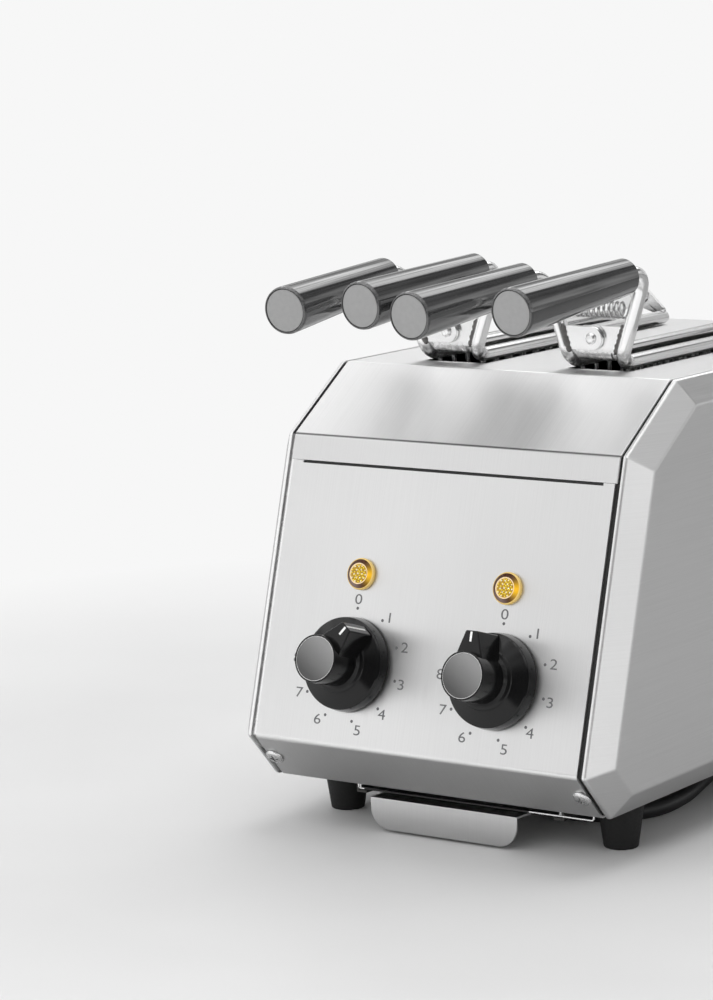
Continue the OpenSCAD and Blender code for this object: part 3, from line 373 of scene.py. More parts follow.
# %% Rounded paths, lathe and sweep
def rounded(points, radii, steps=5):
    corners = [Vector(point).to_3d() for point in points]
    radii = radii if isinstance(radii, list) else [radii] * len(points)
    path = [corners[0]]
    for before, corner, after, radius in zip(corners, corners[1:], corners[2:], radii):
        u = (before - corner).normalized()
        v = (after - corner).normalized()
        half = u.angle(v) / 2
        if radius <= 0 or half > 1.56:
            path.append(corner)
            continue
        room_left = 0.49 * min((before - corner).length, (after - corner).length)
        reach = min(radius / tan(half), room_left)
        centre = corner + (u + v).normalized() * reach * tan(half) / sin(half)
        start = corner + u * reach - centre
        end = corner + v * reach - centre
        axis = start.cross(end).normalized()
        for k in range(steps + 1):
            path.append(centre + Matrix.Rotation(start.angle(end) * k / steps, 3, axis) @ start)
    path.append(corners[-1])
    return path


def circle(centre, across, up, radius, sides):
    count = 1 if radius < 1e-7 else sides
    angles = [2 * pi * k / count for k in range(count)]
    return [centre + (across * cos(angle) + up * sin(angle)) * radius for angle in angles]


def stacked(rings, closed=False):
    points = []
    numbers = []
    for ring in rings:
        numbers.append(range(len(points), len(points) + len(ring)))
        points += ring
    faces = []
    for low, high in zip(numbers, numbers[1:] + (numbers[:1] if closed else [])):
        for k in range(max(len(low), len(high))):
            n = k + 1
            corners = (low[k % len(low)], low[n % len(low)], high[n % len(high)], high[k % len(high)])
            faces.append(tuple(dict.fromkeys(corners)))
    return points, faces


def lathe(name, profile, place, finish, sides=64, sharp=50):
    across, up, out = (place.to_3x3().col[k] for k in range(3))
    rings = [circle(place.translation + out * turned[1] * MM, across, up, turned[0] * MM, sides)
             for turned in profile]
    return new_piece(name, *stacked(rings), finish, sharp)


def sweep(name, path, radius, finish, sides):
    path = [Vector(point) for point in path]
    radii = radius if isinstance(radius, list) else [radius] * len(path)
    legs = [(b - a).normalized() for a, b in zip(path, path[1:])]
    headings = [legs[0]] + [(a + b).normalized() for a, b in zip(legs, legs[1:])] + [legs[-1]]
    caps = []
    for end, way in ((0, -1), (-1, 1)):
        leans = [radians(lean) for lean in (0, 30, 60)]
        caps.append([(path[end] + legs[end] * way * radii[end] * cos(lean), headings[end],
                      radii[end] * sin(lean)) for lean in leans])
    rings = []
    side = headings[0].orthogonal().normalized()
    heading_before = headings[0]
    for centre, heading, reach in caps[0] + list(zip(path, headings, radii)) + caps[1][::-1]:
        side = (heading_before.rotation_difference(heading) @ side).normalized()
        heading_before = heading
        rings.append(circle(centre, side, heading.cross(side), reach, sides))
    return new_piece(name, *stacked(rings), finish, 60)


print("lathe and sweep ready")

# %% [markdown]
# ## Softened sheet metal
# A cut or folded sheet never has a perfectly sharp edge, and that tiny round is what catches the light.
# A copy of the frame's own sheet is joined up again, cleaned of needless triangles and given a small
# bevel. Smooth shading would then bend the light over a whole wide face from its edges, so every face that
# is more than a narrow strip gets its own true normal back, and the brushing stays even.

# %% Eased copies and plates
def flatten_wide_faces(piece, strip=1.5):
    mesh = piece.data
    normals = [Vector(corner.vector) for corner in mesh.corner_normals]
    for face in mesh.polygons:
        corners = [mesh.vertices[i].co for i in face.vertices]
        around = sum((corner - corners[i - 1]).length for i, corner in enumerate(corners))
        if 2 * face.area > strip * MM * around:
            for i in face.loop_indices:
                normals[i] = face.normal.copy()
    mesh.normals_split_custom_set(normals)
    return piece


def round_edges(piece, width, segments, angle, miter="MITER_SHARP"):
    bevel = piece.modifiers.new("rounded edges", "BEVEL")
    bevel.width = width * MM
    bevel.segments = segments
    bevel.limit_method = "ANGLE"
    bevel.angle_limit = radians(angle)
    bevel.miter_outer = miter


def ease(piece, width, segments=2, angle=35):
    round_edges(piece, width, segments, angle, "MITER_ARC")
    return flatten_wide_faces(shade(baked(piece), 50))


def eased_copy(node, name, finish, width):
    mesh = nodes[node].data.copy()
    face_outward(mesh, 2e-6, 0.4)
    recoat(mesh, finish)
    return ease(shade(show(name, mesh), 50), width)


def lay_brushing(piece, along):
    layer = piece.data.uv_layers.new(name="brushing")
    across = Z if along == BRUSHED_LEVEL else X
    for corner, mapped in zip(piece.data.loops, layer.data):
        place = piece.data.vertices[corner.vertex_index].co
        mapped.uv = (place.dot(across), place.dot(along))
    return piece


def plate(name, outline, place, low, high, finish):
    count = len(outline)
    rings = [[place @ Vector((x * MM, y * MM, z * MM)) for x, y in outline] for z in (low, high)]
    points, faces = stacked(rings)
    return new_piece(name, points, faces + [tuple(range(count)), tuple(range(count, 2 * count))], finish)


def second_finish(piece, finish, chosen):
    piece.data.materials.append(finish)
    for face in piece.data.polygons:
        if chosen(face.center):
            face.material_index = 1
    return piece


BRUSHED_UP = Vector((0, 0.6, 0.8))
BRUSHED_LEVEL = Y
print("sheet tools ready")

# %% [markdown]
# ## Cord
# The photograph shows a short stretch of black cord on the table behind the right front foot, and no end.
# A mains lead of about a metre and a half is usual for such a cooker, so the rest is wound into a coil
# behind the object. The route follows the solid cord, with its bends eased by a few millimetres: out of
# the strain relief, down in an easy bend, under the body and back to the coil. One open curve with a
# round bevel is the plainest form.

# %% Cord route
CORD_D = 7
CORD_Z = 3.6
GLAND_X = -52
LEAD = [(GLAND_X, y, z) for y, z in (
    (190.2, 59.2), (201, 59.5), (212.8, 56.9), (222.4, 49.5), (228, 38.8), (228.5, 26.7), (223.9, 15.5),
    (215, 7.3), (203.4, 3.8), (190, CORD_Z), (164, CORD_Z))]
LEAD += [(x, y, CORD_Z) for x, y in (
    (-51.5, 128), (-47.5, 95), (-42.5, 75), (-37, 58), (-25, 24), (-13, -10), (-1, -43.2), (6, -57),
    (15.6, -64.2), (27.4, -67), (39.2, -64.8), (49.2, -57.8), (55.3, -47.4), (57, -35), (55, -17), (51, -1),
    (47, 14), (43.5, 30), (40.5, 48), (38.5, 66), (38, 84), (39, 102), (42, 120), (47, 138), (53, 156))]
LEAD += [(58.5, 174, 3.8), (62, 192, 4.4), (63, 205, 4.8), (63, 212, 4.8)]
TAIL = [(16, 262, 12.4), (7.5, 262, 13.2), (-1, 262, 15.7), (-9.5, 262, 18.2), (-18, 262, 19)]
PLUG_TIP = (-20, 262, 19)
COIL_MID = Vector((20, 219, 4.8))
COIL_R = 43
COIL_STEP = 7.6
COIL_TURNS = 3.25
COIL_CLIMB = 0.5
COIL_POINTS = 130


def smooth_route(points, steps=4):
    points = [Vector(point) for point in points]
    last = len(points) - 1
    route = []
    for i in range(last):
        a, b, c, d = (points[min(max(i + k, 0), last)] for k in (-1, 0, 1, 2))
        for t in (k / steps for k in range(steps)):
            route.append(0.5 * (2 * b + (c - a) * t + (2 * a - 5 * b + 4 * c - d) * t ** 2
                                + (3 * b - a - 3 * c + d) * t ** 3))
    return route + [points[last]]


coil = []
for turn in (COIL_TURNS * i / COIL_POINTS for i in range(COIL_POINTS + 1)):
    radius = COIL_R - COIL_STEP * min(turn, COIL_TURNS - turn)
    climb = min(max((turn - COIL_TURNS / 2) / COIL_CLIMB + 0.5, 0), 1)
    angle = 2 * pi * turn
    coil.append(COIL_MID + (X * cos(angle) + Y * sin(angle)) * radius + Z * COIL_STEP * climb)
cord_route = smooth_route(LEAD) + coil + smooth_route(TAIL) + [Vector(PLUG_TIP)]
cord_route = [point * MM for point in cord_route]

# %% Cord curve
cord_curve = bpy.data.curves.new("cord", "CURVE")
cord_curve.dimensions = "3D"
cord_curve.bevel_depth = CORD_D / 2 * MM
cord_curve.bevel_resolution = 4
cord_curve.use_fill_caps = True
cord_line = cord_curve.splines.new("POLY")
cord_line.points.add(len(cord_route) - 1)
for point, place in zip(cord_line.points, cord_route):
    point.co = (*place, 1)
cord_curve.materials.append(cord_rubber)
cord = show("cord", cord_curve)
print("cord curve", cord.name)

# %% [markdown]
# ## Plug and strain relief
# Both are round mouldings, so a lathe makes them. The strain relief is cut by rings that let it bend, and
# the plug has a waist and three grip ribs. The pins are turned too.

# %% Plug, pins and tie
GLAND_Z = 56
REAR_TILT = radians(6)
BODY_DEPTH = 306
FOOT_Z = 40.2
PLUG_LEN = 60
PIN_SIDE = 9.5
rear_out = Vector((0, cos(REAR_TILT), sin(REAR_TILT)))
gland_foot = bench(GLAND_X, BODY_DEPTH - (GLAND_Z - FOOT_Z) * tan(REAR_TILT), GLAND_Z)
gland_place = frame_of(-X, rear_out.cross(-X), rear_out, gland_foot)
relief_profile = [(0, -6), (8.5, -6), (8.5, -1.1), (6.9, -1.1), (6.9, 0.1), (9, 0.1), (9, 2.2), (8.6, 2.6),
                  (7, 3.4)]
for ring in range(5):
    start = 5 + ring * 4.6
    wide = 6.9 - (start - 3.4) * 0.088
    relief_profile += [(wide, start), (wide - 1.3, start + 0.3), (wide - 1.35, start + 1.4),
                       (wide - 0.15, start + 1.7), (wide - 0.3, start + 3.6)]
relief_profile += [(4.5, 29.4), (4.1, 30), (0, 30)]
relief_piece = lathe("strain_relief", relief_profile, gland_place, black_matt, 48)
settle(relief_piece, "body", "black_plastic", "cord_gland")
plug_place = frame_of(Z, Y, -X, Vector(PLUG_TIP) * MM)
plug_profile = [(0, 0.1), (4.3, 0.1)]
for ring in range(4):
    start = 2 + ring * 5.6
    wide = 4.6 + start * 0.085
    plug_profile += [(wide, start), (wide + 0.3, start + 3.2), (wide - 0.8, start + 3.5),
                     (wide - 0.8, start + 5)]
plug_profile += [(7, 25.5), (9.5, 26.4), (14, 28), (17.4, 32), (18.2, 36), (18.2, 38), (17.5, 38.5),
                 (17.5, 40.5), (18.4, 41), (18.4, 44), (17.7, 44.5), (17.7, 46.5), (18.6, 47), (18.9, 50),
                 (19, 57.5), (18.6, 59), (17.6, PLUG_LEN), (0, PLUG_LEN)]
plug = settle(lathe("plug", plug_profile, plug_place, cord_rubber, 56), "body", "cord_rubber", "plug_body")
pin_profile = rounded([(0, -1), (2.4, -1), (2.4, 9), (2.25, 9.2), (2.25, 19), (0, 19)], 1.6, 4)
pin_pieces = []
for half in HALVES:
    pin_place = plug_place @ Matrix.Translation((0, half * PIN_SIDE * MM, PLUG_LEN * MM))
    pin_pieces.append(lathe("pin", pin_profile, pin_place, pin_metal, 28, 40))
plug_pins = settle(joined("plug_pins_turned", pin_pieces), "body", "pin_brass", "plug_pins")
cord_tie = eased_copy("cord_tie", "cord_tie_strap", black_matt, 0.4)
settle(cord_tie, "body", "black_plastic", "cord_tie")
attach(cord, "body")
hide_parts("cord_lead", "cord_coil", "cord_tail")

# %% [markdown]
# ## Stage and light
# The photograph is a plain studio shot: a pale floor that fades into a white background. The floor is
# white to the camera far away, and keeps its own shade and the shadow near the object. To reflections and
# bounced light it is painted dark from a little in front of the object backwards, and bright further in
# front: painted shade and painted light. Steel shows what stands around it, so the world that reflections
# see is bright in front and dimmer behind. The lamps are large and soft, and their level lets a colour
# render about as it is written.

# %% Floor
BACKDROP = (0.93, 0.93, 0.93, 1)
FLOOR_REACH = 5
floor_finish, tree = new_finish("pale_floor", 0.8, Roughness=0.6)
floor_place = object_place(tree)
floor_eye = add_node(tree, "LightPath").outputs["Is Camera Ray"]
floor_cloud = spread(tree, grain(tree, 6, 2.0), 0, 1)
floor_pale = two_tone(tree, floor_cloud, 0.69, 0.73)
floor_front = spread(tree, split(tree, floor_place)["Y"], 1, 0, -0.2, -0.14)
# Painted shade for reflections and bounce: 0.36 from a little in front of the object backwards, 0.95 in front.
floor_painted_shade = two_tone(tree, floor_front, 0.36, 0.95)
feed(tree, "Base Color", two_tone(tree, floor_eye, floor_painted_shade, floor_pale))
floor_fade = spread(tree, length_of(tree, floor_place), 0, 1, 0.3, 0.6)
floor_white = add_node(tree, "Emission", Color=BACKDROP, Strength=1.0)
floor_mix = blend(tree, combine(tree, "MULTIPLY", floor_fade, floor_eye),
                  tree.nodes["Principled BSDF"].outputs["BSDF"], floor_white.outputs["Emission"])
tree.links.new(floor_mix, tree.nodes["Material Output"].inputs["Surface"])
floor_corners = [(x * FLOOR_REACH, y * FLOOR_REACH, 0) for x, y in ((-1, -1), (1, -1), (1, 1), (-1, 1))]
floor = new_piece("floor", floor_corners, [(0, 1, 2, 3)], floor_finish)
print("floor", floor.name)

# %% World
world = bpy.data.worlds.new("studio")
bpy.context.scene.world = world
world.use_nodes = True
world_tree = world.node_tree
world_tree.nodes.clear()
world_way = add_node(world_tree, "TexCoord").outputs["Generated"]
world_axes = split(world_tree, world_way)


def world_band(*ramps):
    steps = [spread(world_tree, world_axes[axis], *span) for axis, *span in ramps]
    return combine(world_tree, "MULTIPLY", *steps)


def world_dark(depth, *ramps):
    return spread(world_tree, world_band(*ramps), 1, 1 - depth, 0, 1)


room = world_band(("Y", 1.2, 0.64, -0.3, 0.9), ("X", 1, 0.86, 0.6, 0.9))
right_wall = combine(world_tree, "MAXIMUM", world_band(("X", 1, 0.5, 0.45, 0.8)),
                     world_band(("Z", 1, 0.5, 0.2, 0.45)))
back_box = world_band(("X", 1.3, 0, 0.1, 0.13), ("Z", 0, 1, 0.42, 0.5), ("Y", 0, 1, 0.45, 0.6))
top_box = world_band(("Z", 0, 0.6, 0.45, 0.65), ("X", 0, 1, -0.6, -0.3), ("X", 1, 0, 0.3, 0.5),
                     ("Y", 1, 0, 0.4, 0.6))
front_gap = world_dark(0.92, ("X", 0, 1, -0.3, -0.05), ("X", 1, 0, 0.65, 0.85), ("Y", 1, 0, -0.65, -0.5))
back_gap = world_dark(0.7, ("X", 0, 1, 0.12, 0.14), ("X", 1, 0, 0.2, 0.23), ("Z", 0, 1, 0.3, 0.4),
                      ("Y", 0, 1, 0.35, 0.45))
back_right = world_dark(0.75, ("X", 0, 1, 0.12, 0.14), ("X", 1, 0, 0.5, 0.7), ("Z", 0, 1, 0.3, 0.4),
                        ("Y", 0, 1, 0.3, 0.5))
strips = spread(world_tree, grain(world_tree, (13, 1.5, 5), 1.0, world_way), 0.55, 1.4, 0.38, 0.62)
walls = combine(world_tree, "MULTIPLY", room, right_wall, front_gap, back_gap, back_right)
world_glow = combine(world_tree, "MULTIPLY", combine(world_tree, "ADD", walls, back_box, top_box), strips)
world_path = add_node(world_tree, "LightPath").outputs
world_mirror = add_node(world_tree, "Background", Color=(1, 1, 1, 1))
world_tree.links.new(world_glow, world_mirror.inputs["Strength"])
world_soft, world_white = (add_node(world_tree, "Background", Color=colour).outputs["Background"]
                           for colour in ((0.45, 0.45, 0.45, 1), BACKDROP))
world_shiny = combine(world_tree, "MAXIMUM", world_path["Is Glossy Ray"], world_path["Is Transmission Ray"])
world_lit = blend(world_tree, world_shiny, world_soft, world_mirror.outputs["Background"])
world_seen = blend(world_tree, world_path["Is Camera Ray"], world_lit, world_white)
world_tree.links.new(world_seen, add_node(world_tree, "OutputWorld").inputs["Surface"])
bpy.context.scene.view_settings.view_transform = "Standard"
print("world", world.name)

# %% Lamps
LAMP_AIM = Vector((0, 0, 0.1))
LAMPS = {
    "key_lamp": ((-1.1, -0.9, 1.5), 1.5, 9),
    "top_lamp": ((0.0, 0.6, 1.8), 1.6, 17),
    "fill_lamp": ((1.6, -0.9, 0.9), 1.2, 4),
    "front_lamp": ((-0.1, -1.5, 0.5), 1.4, 10),
}
for name, (place, size, power) in LAMPS.items():
    lamp_data = bpy.data.lights.new(name, "AREA")
    lamp_data.size = size
    lamp_data.energy = power
    lamp = show(name, lamp_data)
    lamp.location = place
    lamp.rotation_euler = (LAMP_AIM - Vector(place)).to_track_quat("-Z", "Y").to_euler()
    lamp.visible_glossy = False
print("lamps", len(LAMPS))

# %% [markdown]
# ## Steel box
# The front, the top and the rear are folded sheets whose solids already have the right folds, so eased
# copies of them stand in for the nodes. The front and the cover were brushed up and down. The cover's
# finish paints a thin dark line round the corner of its tight fold above the front, a painted shade, and
# its steel is set lighter than the front's, a painted light that brightens the cover.

# %% Crease
PANEL_TILT = asin(panel_out.z)
PANEL_LEN = 128.3
FOLD = (PANEL_LEN * sin(PANEL_TILT), FOOT_Z + PANEL_LEN * cos(PANEL_TILT))
CREASE = 0.7
# Painted light: the cover's steel is 0.86 against the front's 0.8, to brighten the cover.
steel_cover = brushed_steel("steel_cover", UP_AND_DOWN, 0.86, 0.41, 0.8)
tree = steel_cover.node_tree
corner = bench(0, *FOLD)
beside = add_node(tree, "Mapping", Scale=(0, 1, 1), Location=(0, -corner.y, -corner.z))
tree.links.new(object_place(tree), beside.inputs["Vector"])
reach = length_of(tree, beside.outputs["Vector"])
# Painted shade: the colour turns to 0.16 within the crease width of the fold's corner.
fold_painted_shade = spread(tree, reach, 1, 0, 0.4 * CREASE * MM, CREASE * MM)
plain = tree.nodes["Principled BSDF"].inputs["Base Color"].links[0].from_socket
feed(tree, "Base Color", two_tone(tree, fold_painted_shade, plain, 0.16))
print("cover fold at", [round(v, 2) for v in FOLD])

# %% Folded sheets
BEHIND_SHEET = -0.45
SEAM_BAND = 25


def behind_front(centre):
    depth = (centre - panel_foot).dot(panel_out) / MM
    return depth < BEHIND_SHEET and centre.z / MM > FOLD[1] - SEAM_BAND


for node, name, finish, width in (("front_panel", "front_sheet", steel_front, 0.22),
                                  ("top_cover", "cover_sheet", steel_cover, 0.3),
                                  ("rear_panel", "rear_sheet", steel_front, 0.22)):
    sheet = lay_brushing(eased_copy(node, name, finish, width), BRUSHED_UP)
    if node == "front_panel":
        # Painted shade: faces of the backing seen through the gap under the cover take the near-black finish.
        second_finish(sheet, painted_gap_shade, behind_front)
    settle(sheet, "body", "stainless", node)

# %% [markdown]
# ## Side panels
# Each side is a shallow dish: a narrow strip at the seam, a wide slanted border and a flat face, folded
# and welded at the mitres with a soft round of more than a millimetre. Three rings of points give the
# dish, a bevel gives the round and a solidify gives the thickness of the sheet. The lip behind the seam
# carries the other sheets. It is painted near black, a painted shade of the gap, apart from the left
# one's lower part, which is bright steel.

# %% Side outline
REAR_FOLD_Z = 173.5
REAR_FOLD = (BODY_DEPTH - (REAR_FOLD_Z - FOOT_Z) * tan(REAR_TILT), REAR_FOLD_Z)
TOP_Z = 189
BASE_Z = 20
FOLD_RUN = 19
SLOPE_RUN = 39.5
REAR_SLOPE_RUN = 24
SIDE_OUTLINE = [
    (FOLD_RUN, BASE_Z), (0, FOOT_Z), FOLD, (FOLD[0] + SLOPE_RUN, TOP_Z),
    (REAR_FOLD[0] - REAR_SLOPE_RUN, TOP_Z), REAR_FOLD, (BODY_DEPTH, FOOT_Z),
    (BODY_DEPTH - FOLD_RUN, BASE_Z),
]


def inset_outline(outline, distance):
    corners = [Vector(corner) for corner in outline]
    inner = []
    for i, corner in enumerate(corners):
        before = (corner - corners[i - 1]).normalized()
        after = (corners[(i + 1) % len(corners)] - corner).normalized()
        a = Vector((before.y, -before.x))
        b = Vector((after.y, -after.x))
        inner.append(corner + distance * (a + b) / (1 + a.dot(b)))
    return inner


print("side outline", [(round(y, 1), round(z, 1)) for y, z in SIDE_OUTLINE])

# %% Side dishes
DISH_STATIONS = ((80.8, 0), (82.3, 0), (90, 10))
LIP_STATIONS = ((72, 1.1), (81, 1.1), (81, 2.1), (72, 2.1))


def side_rings(side, stations):
    return [[bench(side * x, y, z) for y, z in inset_outline(SIDE_OUTLINE, distance)]
            for x, distance in stations]


def side_dish(name, side):
    points, faces = stacked(side_rings(side, DISH_STATIONS))
    flat = tuple(range(len(points)))[-len(SIDE_OUTLINE):]
    dish = new_piece(name, points, faces + [flat], steel_side)
    if sum(face.normal.x * side * face.area for face in dish.data.polygons) < 0:
        dish.data.flip_normals()
    round_edges(dish, 0.75, 4, 9)
    sheet = dish.modifiers.new("sheet", "SOLIDIFY")
    sheet.thickness = 1 * MM
    sheet.offset = -1
    return lay_brushing(flatten_wide_faces(shade(baked(dish), 60)), BRUSHED_LEVEL)


def side_lip(name, side):
    # Painted shade: the lip takes the near-black finish, except the left one's lower part.
    lip = ease(new_piece(name, *stacked(side_rings(side, LIP_STATIONS), True), painted_gap_shade), 0.3, 2, 9)
    return second_finish(lip, wire_bright, lambda centre: side < 0 and centre.z < FOLD[1] * MM)


for side, word in HALVES.items():
    dish = joined(word + "_side_dish", [side_dish(word + "_dish", side), side_lip(word + "_lip", side)])
    settle(dish, "body", "stainless", word + "_side_panel")

# %% [markdown]
# ## Base lip and inner solids
# Under the front fold the rolled edge of the base shows as a bright line with a dark slit above it, and
# turns up at both ends. Its middle, over the tray, takes the near-black finish as painted shade where the
# tray's mouth shades it. What lies inside the body is the frame's own solids, and only needs its finishes:
# duller steel, ceramic, black plastic, and hazy quartz for the heating tubes.

# %% Base lip
LIP_ENDS = (-41, 73.4)
LIP_SHADED_SPAN = (-38, 43)
LIP_Y = 20.9
LIP_Z = 17.95
LIP_TURN_Z = 20.3
LIP_R = 0.38
lip_path = [(x, LIP_Y, LIP_Z) for x in (LIP_ENDS[0], *LIP_SHADED_SPAN, LIP_ENDS[1])]
lip_path = [(LIP_ENDS[0], LIP_Y, LIP_TURN_Z), *lip_path, (LIP_ENDS[1], LIP_Y, LIP_TURN_Z)]
lip_path = [bench(*point) for point in rounded(lip_path, [1, 0.2, 0.2, 1])]
base_lip = sweep("base_lip", lip_path, LIP_R * MM, wire_bright, 14)
# Painted shade: the middle of the lip, over the tray, takes the near-black finish.
second_finish(base_lip, painted_gap_shade, lambda centre: LIP_SHADED_SPAN[0] * MM < centre.x < LIP_SHADED_SPAN[1] * MM)
settle(base_lip, "body", "stainless")

# %% Inner solids
quartz, tree = new_finish("quartz_tube", (0.9, 0.9, 0.88), Roughness=0.12, Transmission_Weight=0.8)
feed(tree, "Roughness", spread(tree, grain(tree, (200, 40, 200)), 0.08, 0.3))
INNER_SOLIDS = {
    steel_inner: ("base_plate", "front_bulkhead", "rear_bulkhead", "heat_shields", "left_timer",
                  "right_timer", "left_timer_shaft", "right_timer_shaft"),
    steel_sooty: ("tray_rails",),
    ceramic: ("tube_sockets", "terminal_block"),
    black_matt: ("lamp_holders",),
    quartz: ("quartz_tubes",),
}
for finish, names in INNER_SOLIDS.items():
    for name in names:
        recoat(nodes[name].data, finish)
print("inner solids finished", sum(len(names) for names in INNER_SOLIDS.values()))

# %% [markdown]
# ## A tree for wires
# Cages, guards and springs are all round wire along a path, often in an even row. One Geometry Nodes
# tree does them all: the path becomes a curve, a circle is drawn along it, and the wire is set out in
# equal steps. The result is turned into a plain mesh, because the joints carry meshes. Every tree in this
# lesson has the same end, so one function makes it, and another reads the links from short lines of text.

# %% Tree helpers
def new_tree(name, inputs, **kinds):
    tree = bpy.data.node_groups.new(name, "GeometryNodeTree")
    tree.interface.new_socket("Geometry", in_out="OUTPUT", socket_type="NodeSocketGeometry")
    for label, kind in {"Geometry": "Geometry", **inputs, "Finish": "Material"}.items():
        tree.interface.new_socket(label, in_out="INPUT", socket_type="NodeSocket" + kind)
    kinds.update(set="InstanceOnPoints", real="RealizeInstances", paint="SetMaterial")
    parts = {label: tree.nodes.new("GeometryNode" + kind) for label, kind in kinds.items()}
    parts["in"] = tree.nodes.new("NodeGroupInput")
    parts["out"] = tree.nodes.new("NodeGroupOutput")
    return tree, parts


def join_up(tree, parts, *links):
    ending = ("set.Instances > real.Geometry", "real.Geometry > paint.Geometry",
              "in.Finish > paint.Material", "paint.Geometry > out.Geometry")
    for link in links + ending:
        (start, output), (end, socket) = (side.split(".") for side in link.split(" > "))
        tree.links.new(parts[start].outputs[output], parts[end].inputs[socket])
    print(tree.name, len(tree.nodes), "nodes")


def grow(piece, tree, sizes):
    growth = piece.modifiers.new(tree.name, "NODES")
    growth.node_group = tree
    for item in tree.interface.items_tree:
        if item.in_out == "INPUT" and item.name in sizes:
            growth[item.identifier] = sizes[item.name]
    baked(piece)
    face_outward(piece.data)
    return piece


print("tree helpers ready")

# %% Wire tree
wire_tree, wire_parts = new_tree(
    "wire_row", {"Wire Radius": "Float", "Sides": "Int", "Count": "Int", "Step": "Vector"},
    curve="MeshToCurve", ring="CurvePrimitiveCircle", mesh="CurveToMesh", line="MeshLine")
wire_parts["mesh"].inputs["Fill Caps"].default_value = True
join_up(wire_tree, wire_parts, "in.Geometry > curve.Mesh", "in.Wire Radius > ring.Radius",
        "in.Sides > ring.Resolution", "curve.Curve > mesh.Curve", "ring.Curve > mesh.Profile Curve",
        "in.Count > line.Count", "in.Step > line.Offset", "line.Mesh > set.Points",
        "mesh.Mesh > set.Instance")


def wires(name, path, radius, finish, count=1, step=(0, 0, 0), sides=12):
    mesh = bpy.data.meshes.new(name)
    mesh.from_pydata([tuple(p) for p in path], [(k, k + 1) for k in range(len(path) - 1)], [])
    return shade(grow(show(name, mesh), wire_tree, {
        "Wire Radius": radius * MM, "Sides": sides, "Count": count, "Step": Vector(step) * MM,
        "Finish": finish}), 50)

# %% [markdown]
# ## Tongs
# Each half of a tong is one bent rod: straight in its handle, bent down to the hinge and bent again to
# run back over the slot. The wire grid hangs from it. The two halves are nearly mirror images: the handles
# turn a little to one side, the outermost left one to the other, and each left one sits a little lower.
# The rods are swept along the same points as the solids.

# %% Tong places
SLOT_X = 35.7
ROD_X = 12
ROD_Z = 192.2
ROD_R = 3
ROD_REAR_Y = 247.5
ROD_IN_HANDLE = 45
UPRIGHT_Y = 90
HANDLE_X = 24
HANDLE_Z = 230
LEFT_DROP = 3.3
HANDLE_LEN = 78
HANDLE_REAR_R = 7.6
HANDLE_TILT = radians(5)
HANDLE_YAW = radians(3.6)
OUTER_YAW = radians(-3)
HANDLE_GAP = 16
PIVOT_Z = 202.5
SPRING_Z = 214.5
TONGS = [
    ("left_tong", -1, {-1: "left_tong_jaw", 1: "left_tong"}),
    ("right_tong", 1, {-1: "right_tong", 1: "right_tong_jaw"}),
]
TONG_HALVES = [(slot, half, bodies[half], f"{tong}_{word}")
               for tong, slot, bodies in TONGS for half, word in HALVES.items()]


def handle_way(slot, half):
    yaw = OUTER_YAW if slot < 0 and half < 0 else HANDLE_YAW
    level_way = Vector((sin(yaw), cos(yaw), 0)) * cos(HANDLE_TILT)
    return level_way + Vector((0, 0, sin(HANDLE_TILT)))


def gap_run(way):
    return HANDLE_GAP / way.y * way


def upper_corner(half):
    rear = Vector((half * HANDLE_X, UPRIGHT_Y - HANDLE_GAP, HANDLE_Z - (LEFT_DROP if half < 0 else 0)))
    return rear + gap_run(handle_way(1, half))


def handle_rear(slot, half):
    return upper_corner(half) - gap_run(handle_way(slot, half))


def rod_corners(slot, half):
    return [handle_rear(slot, half) - ROD_IN_HANDLE * handle_way(slot, half), upper_corner(half),
            Vector((half * ROD_X, UPRIGHT_Y, ROD_Z)), Vector((half * ROD_X, ROD_REAR_Y, ROD_Z))]


def upright_x(half, z):
    upper = upper_corner(half)
    return ROD_X + (half * upper.x - ROD_X) * (z - ROD_Z) / (upper.z - ROD_Z)


def on_tong(slot, points):
    return [bench(slot * SLOT_X + x, y, z) for x, y, z in points]


print("upright leans", round(upright_x(1, SPRING_Z), 2), "mm out at the spring")

# %% [markdown]
# ## Darker wire low down
# The wire is darker round the feet of the uprights and on the hinge plates' lower edges. It is a
# mask of three factors: low down, near the uprights, and in blotches.

# %% Wire darker low down
DARKER_Z = (192.5, 198.5)
DARKER_Y = (92, 97)
wire_darker_low, tree = new_finish("wire_darker_low_blotched", 0.88, Metallic=1.0, Roughness=0.2)
axes = split(tree, object_place(tree))
low = spread(tree, axes["Z"], 1, 0, *(z * MM for z in DARKER_Z))
near = spread(tree, axes["Y"], 1, 0, *(bench(0, y, 0).y for y in DARKER_Y))
blotches = spread(tree, grain(tree, 420, 4.0), 0.25, 1, 0.35, 0.6)
mask = combine(tree, "MULTIPLY", low, near, blotches)
feed(tree, "Base Color", two_tone(tree, mask, 0.88, 0.07))
feed(tree, "Roughness", spread(tree, mask, 0.2, 0.5, 0, 1))
relief(tree, blotches, 0.06)
print("stained finish", wire_darker_low.name)

# %% Rods
for slot, half, body, name in TONG_HALVES:
    path = on_tong(slot, rounded(rod_corners(slot, half), [9, 7], 10))
    rod = sweep(name + "_bent_rod", path, ROD_R * MM, wire_darker_low, 28)
    settle(rod, body, "chrome_steel", name + "_rod")
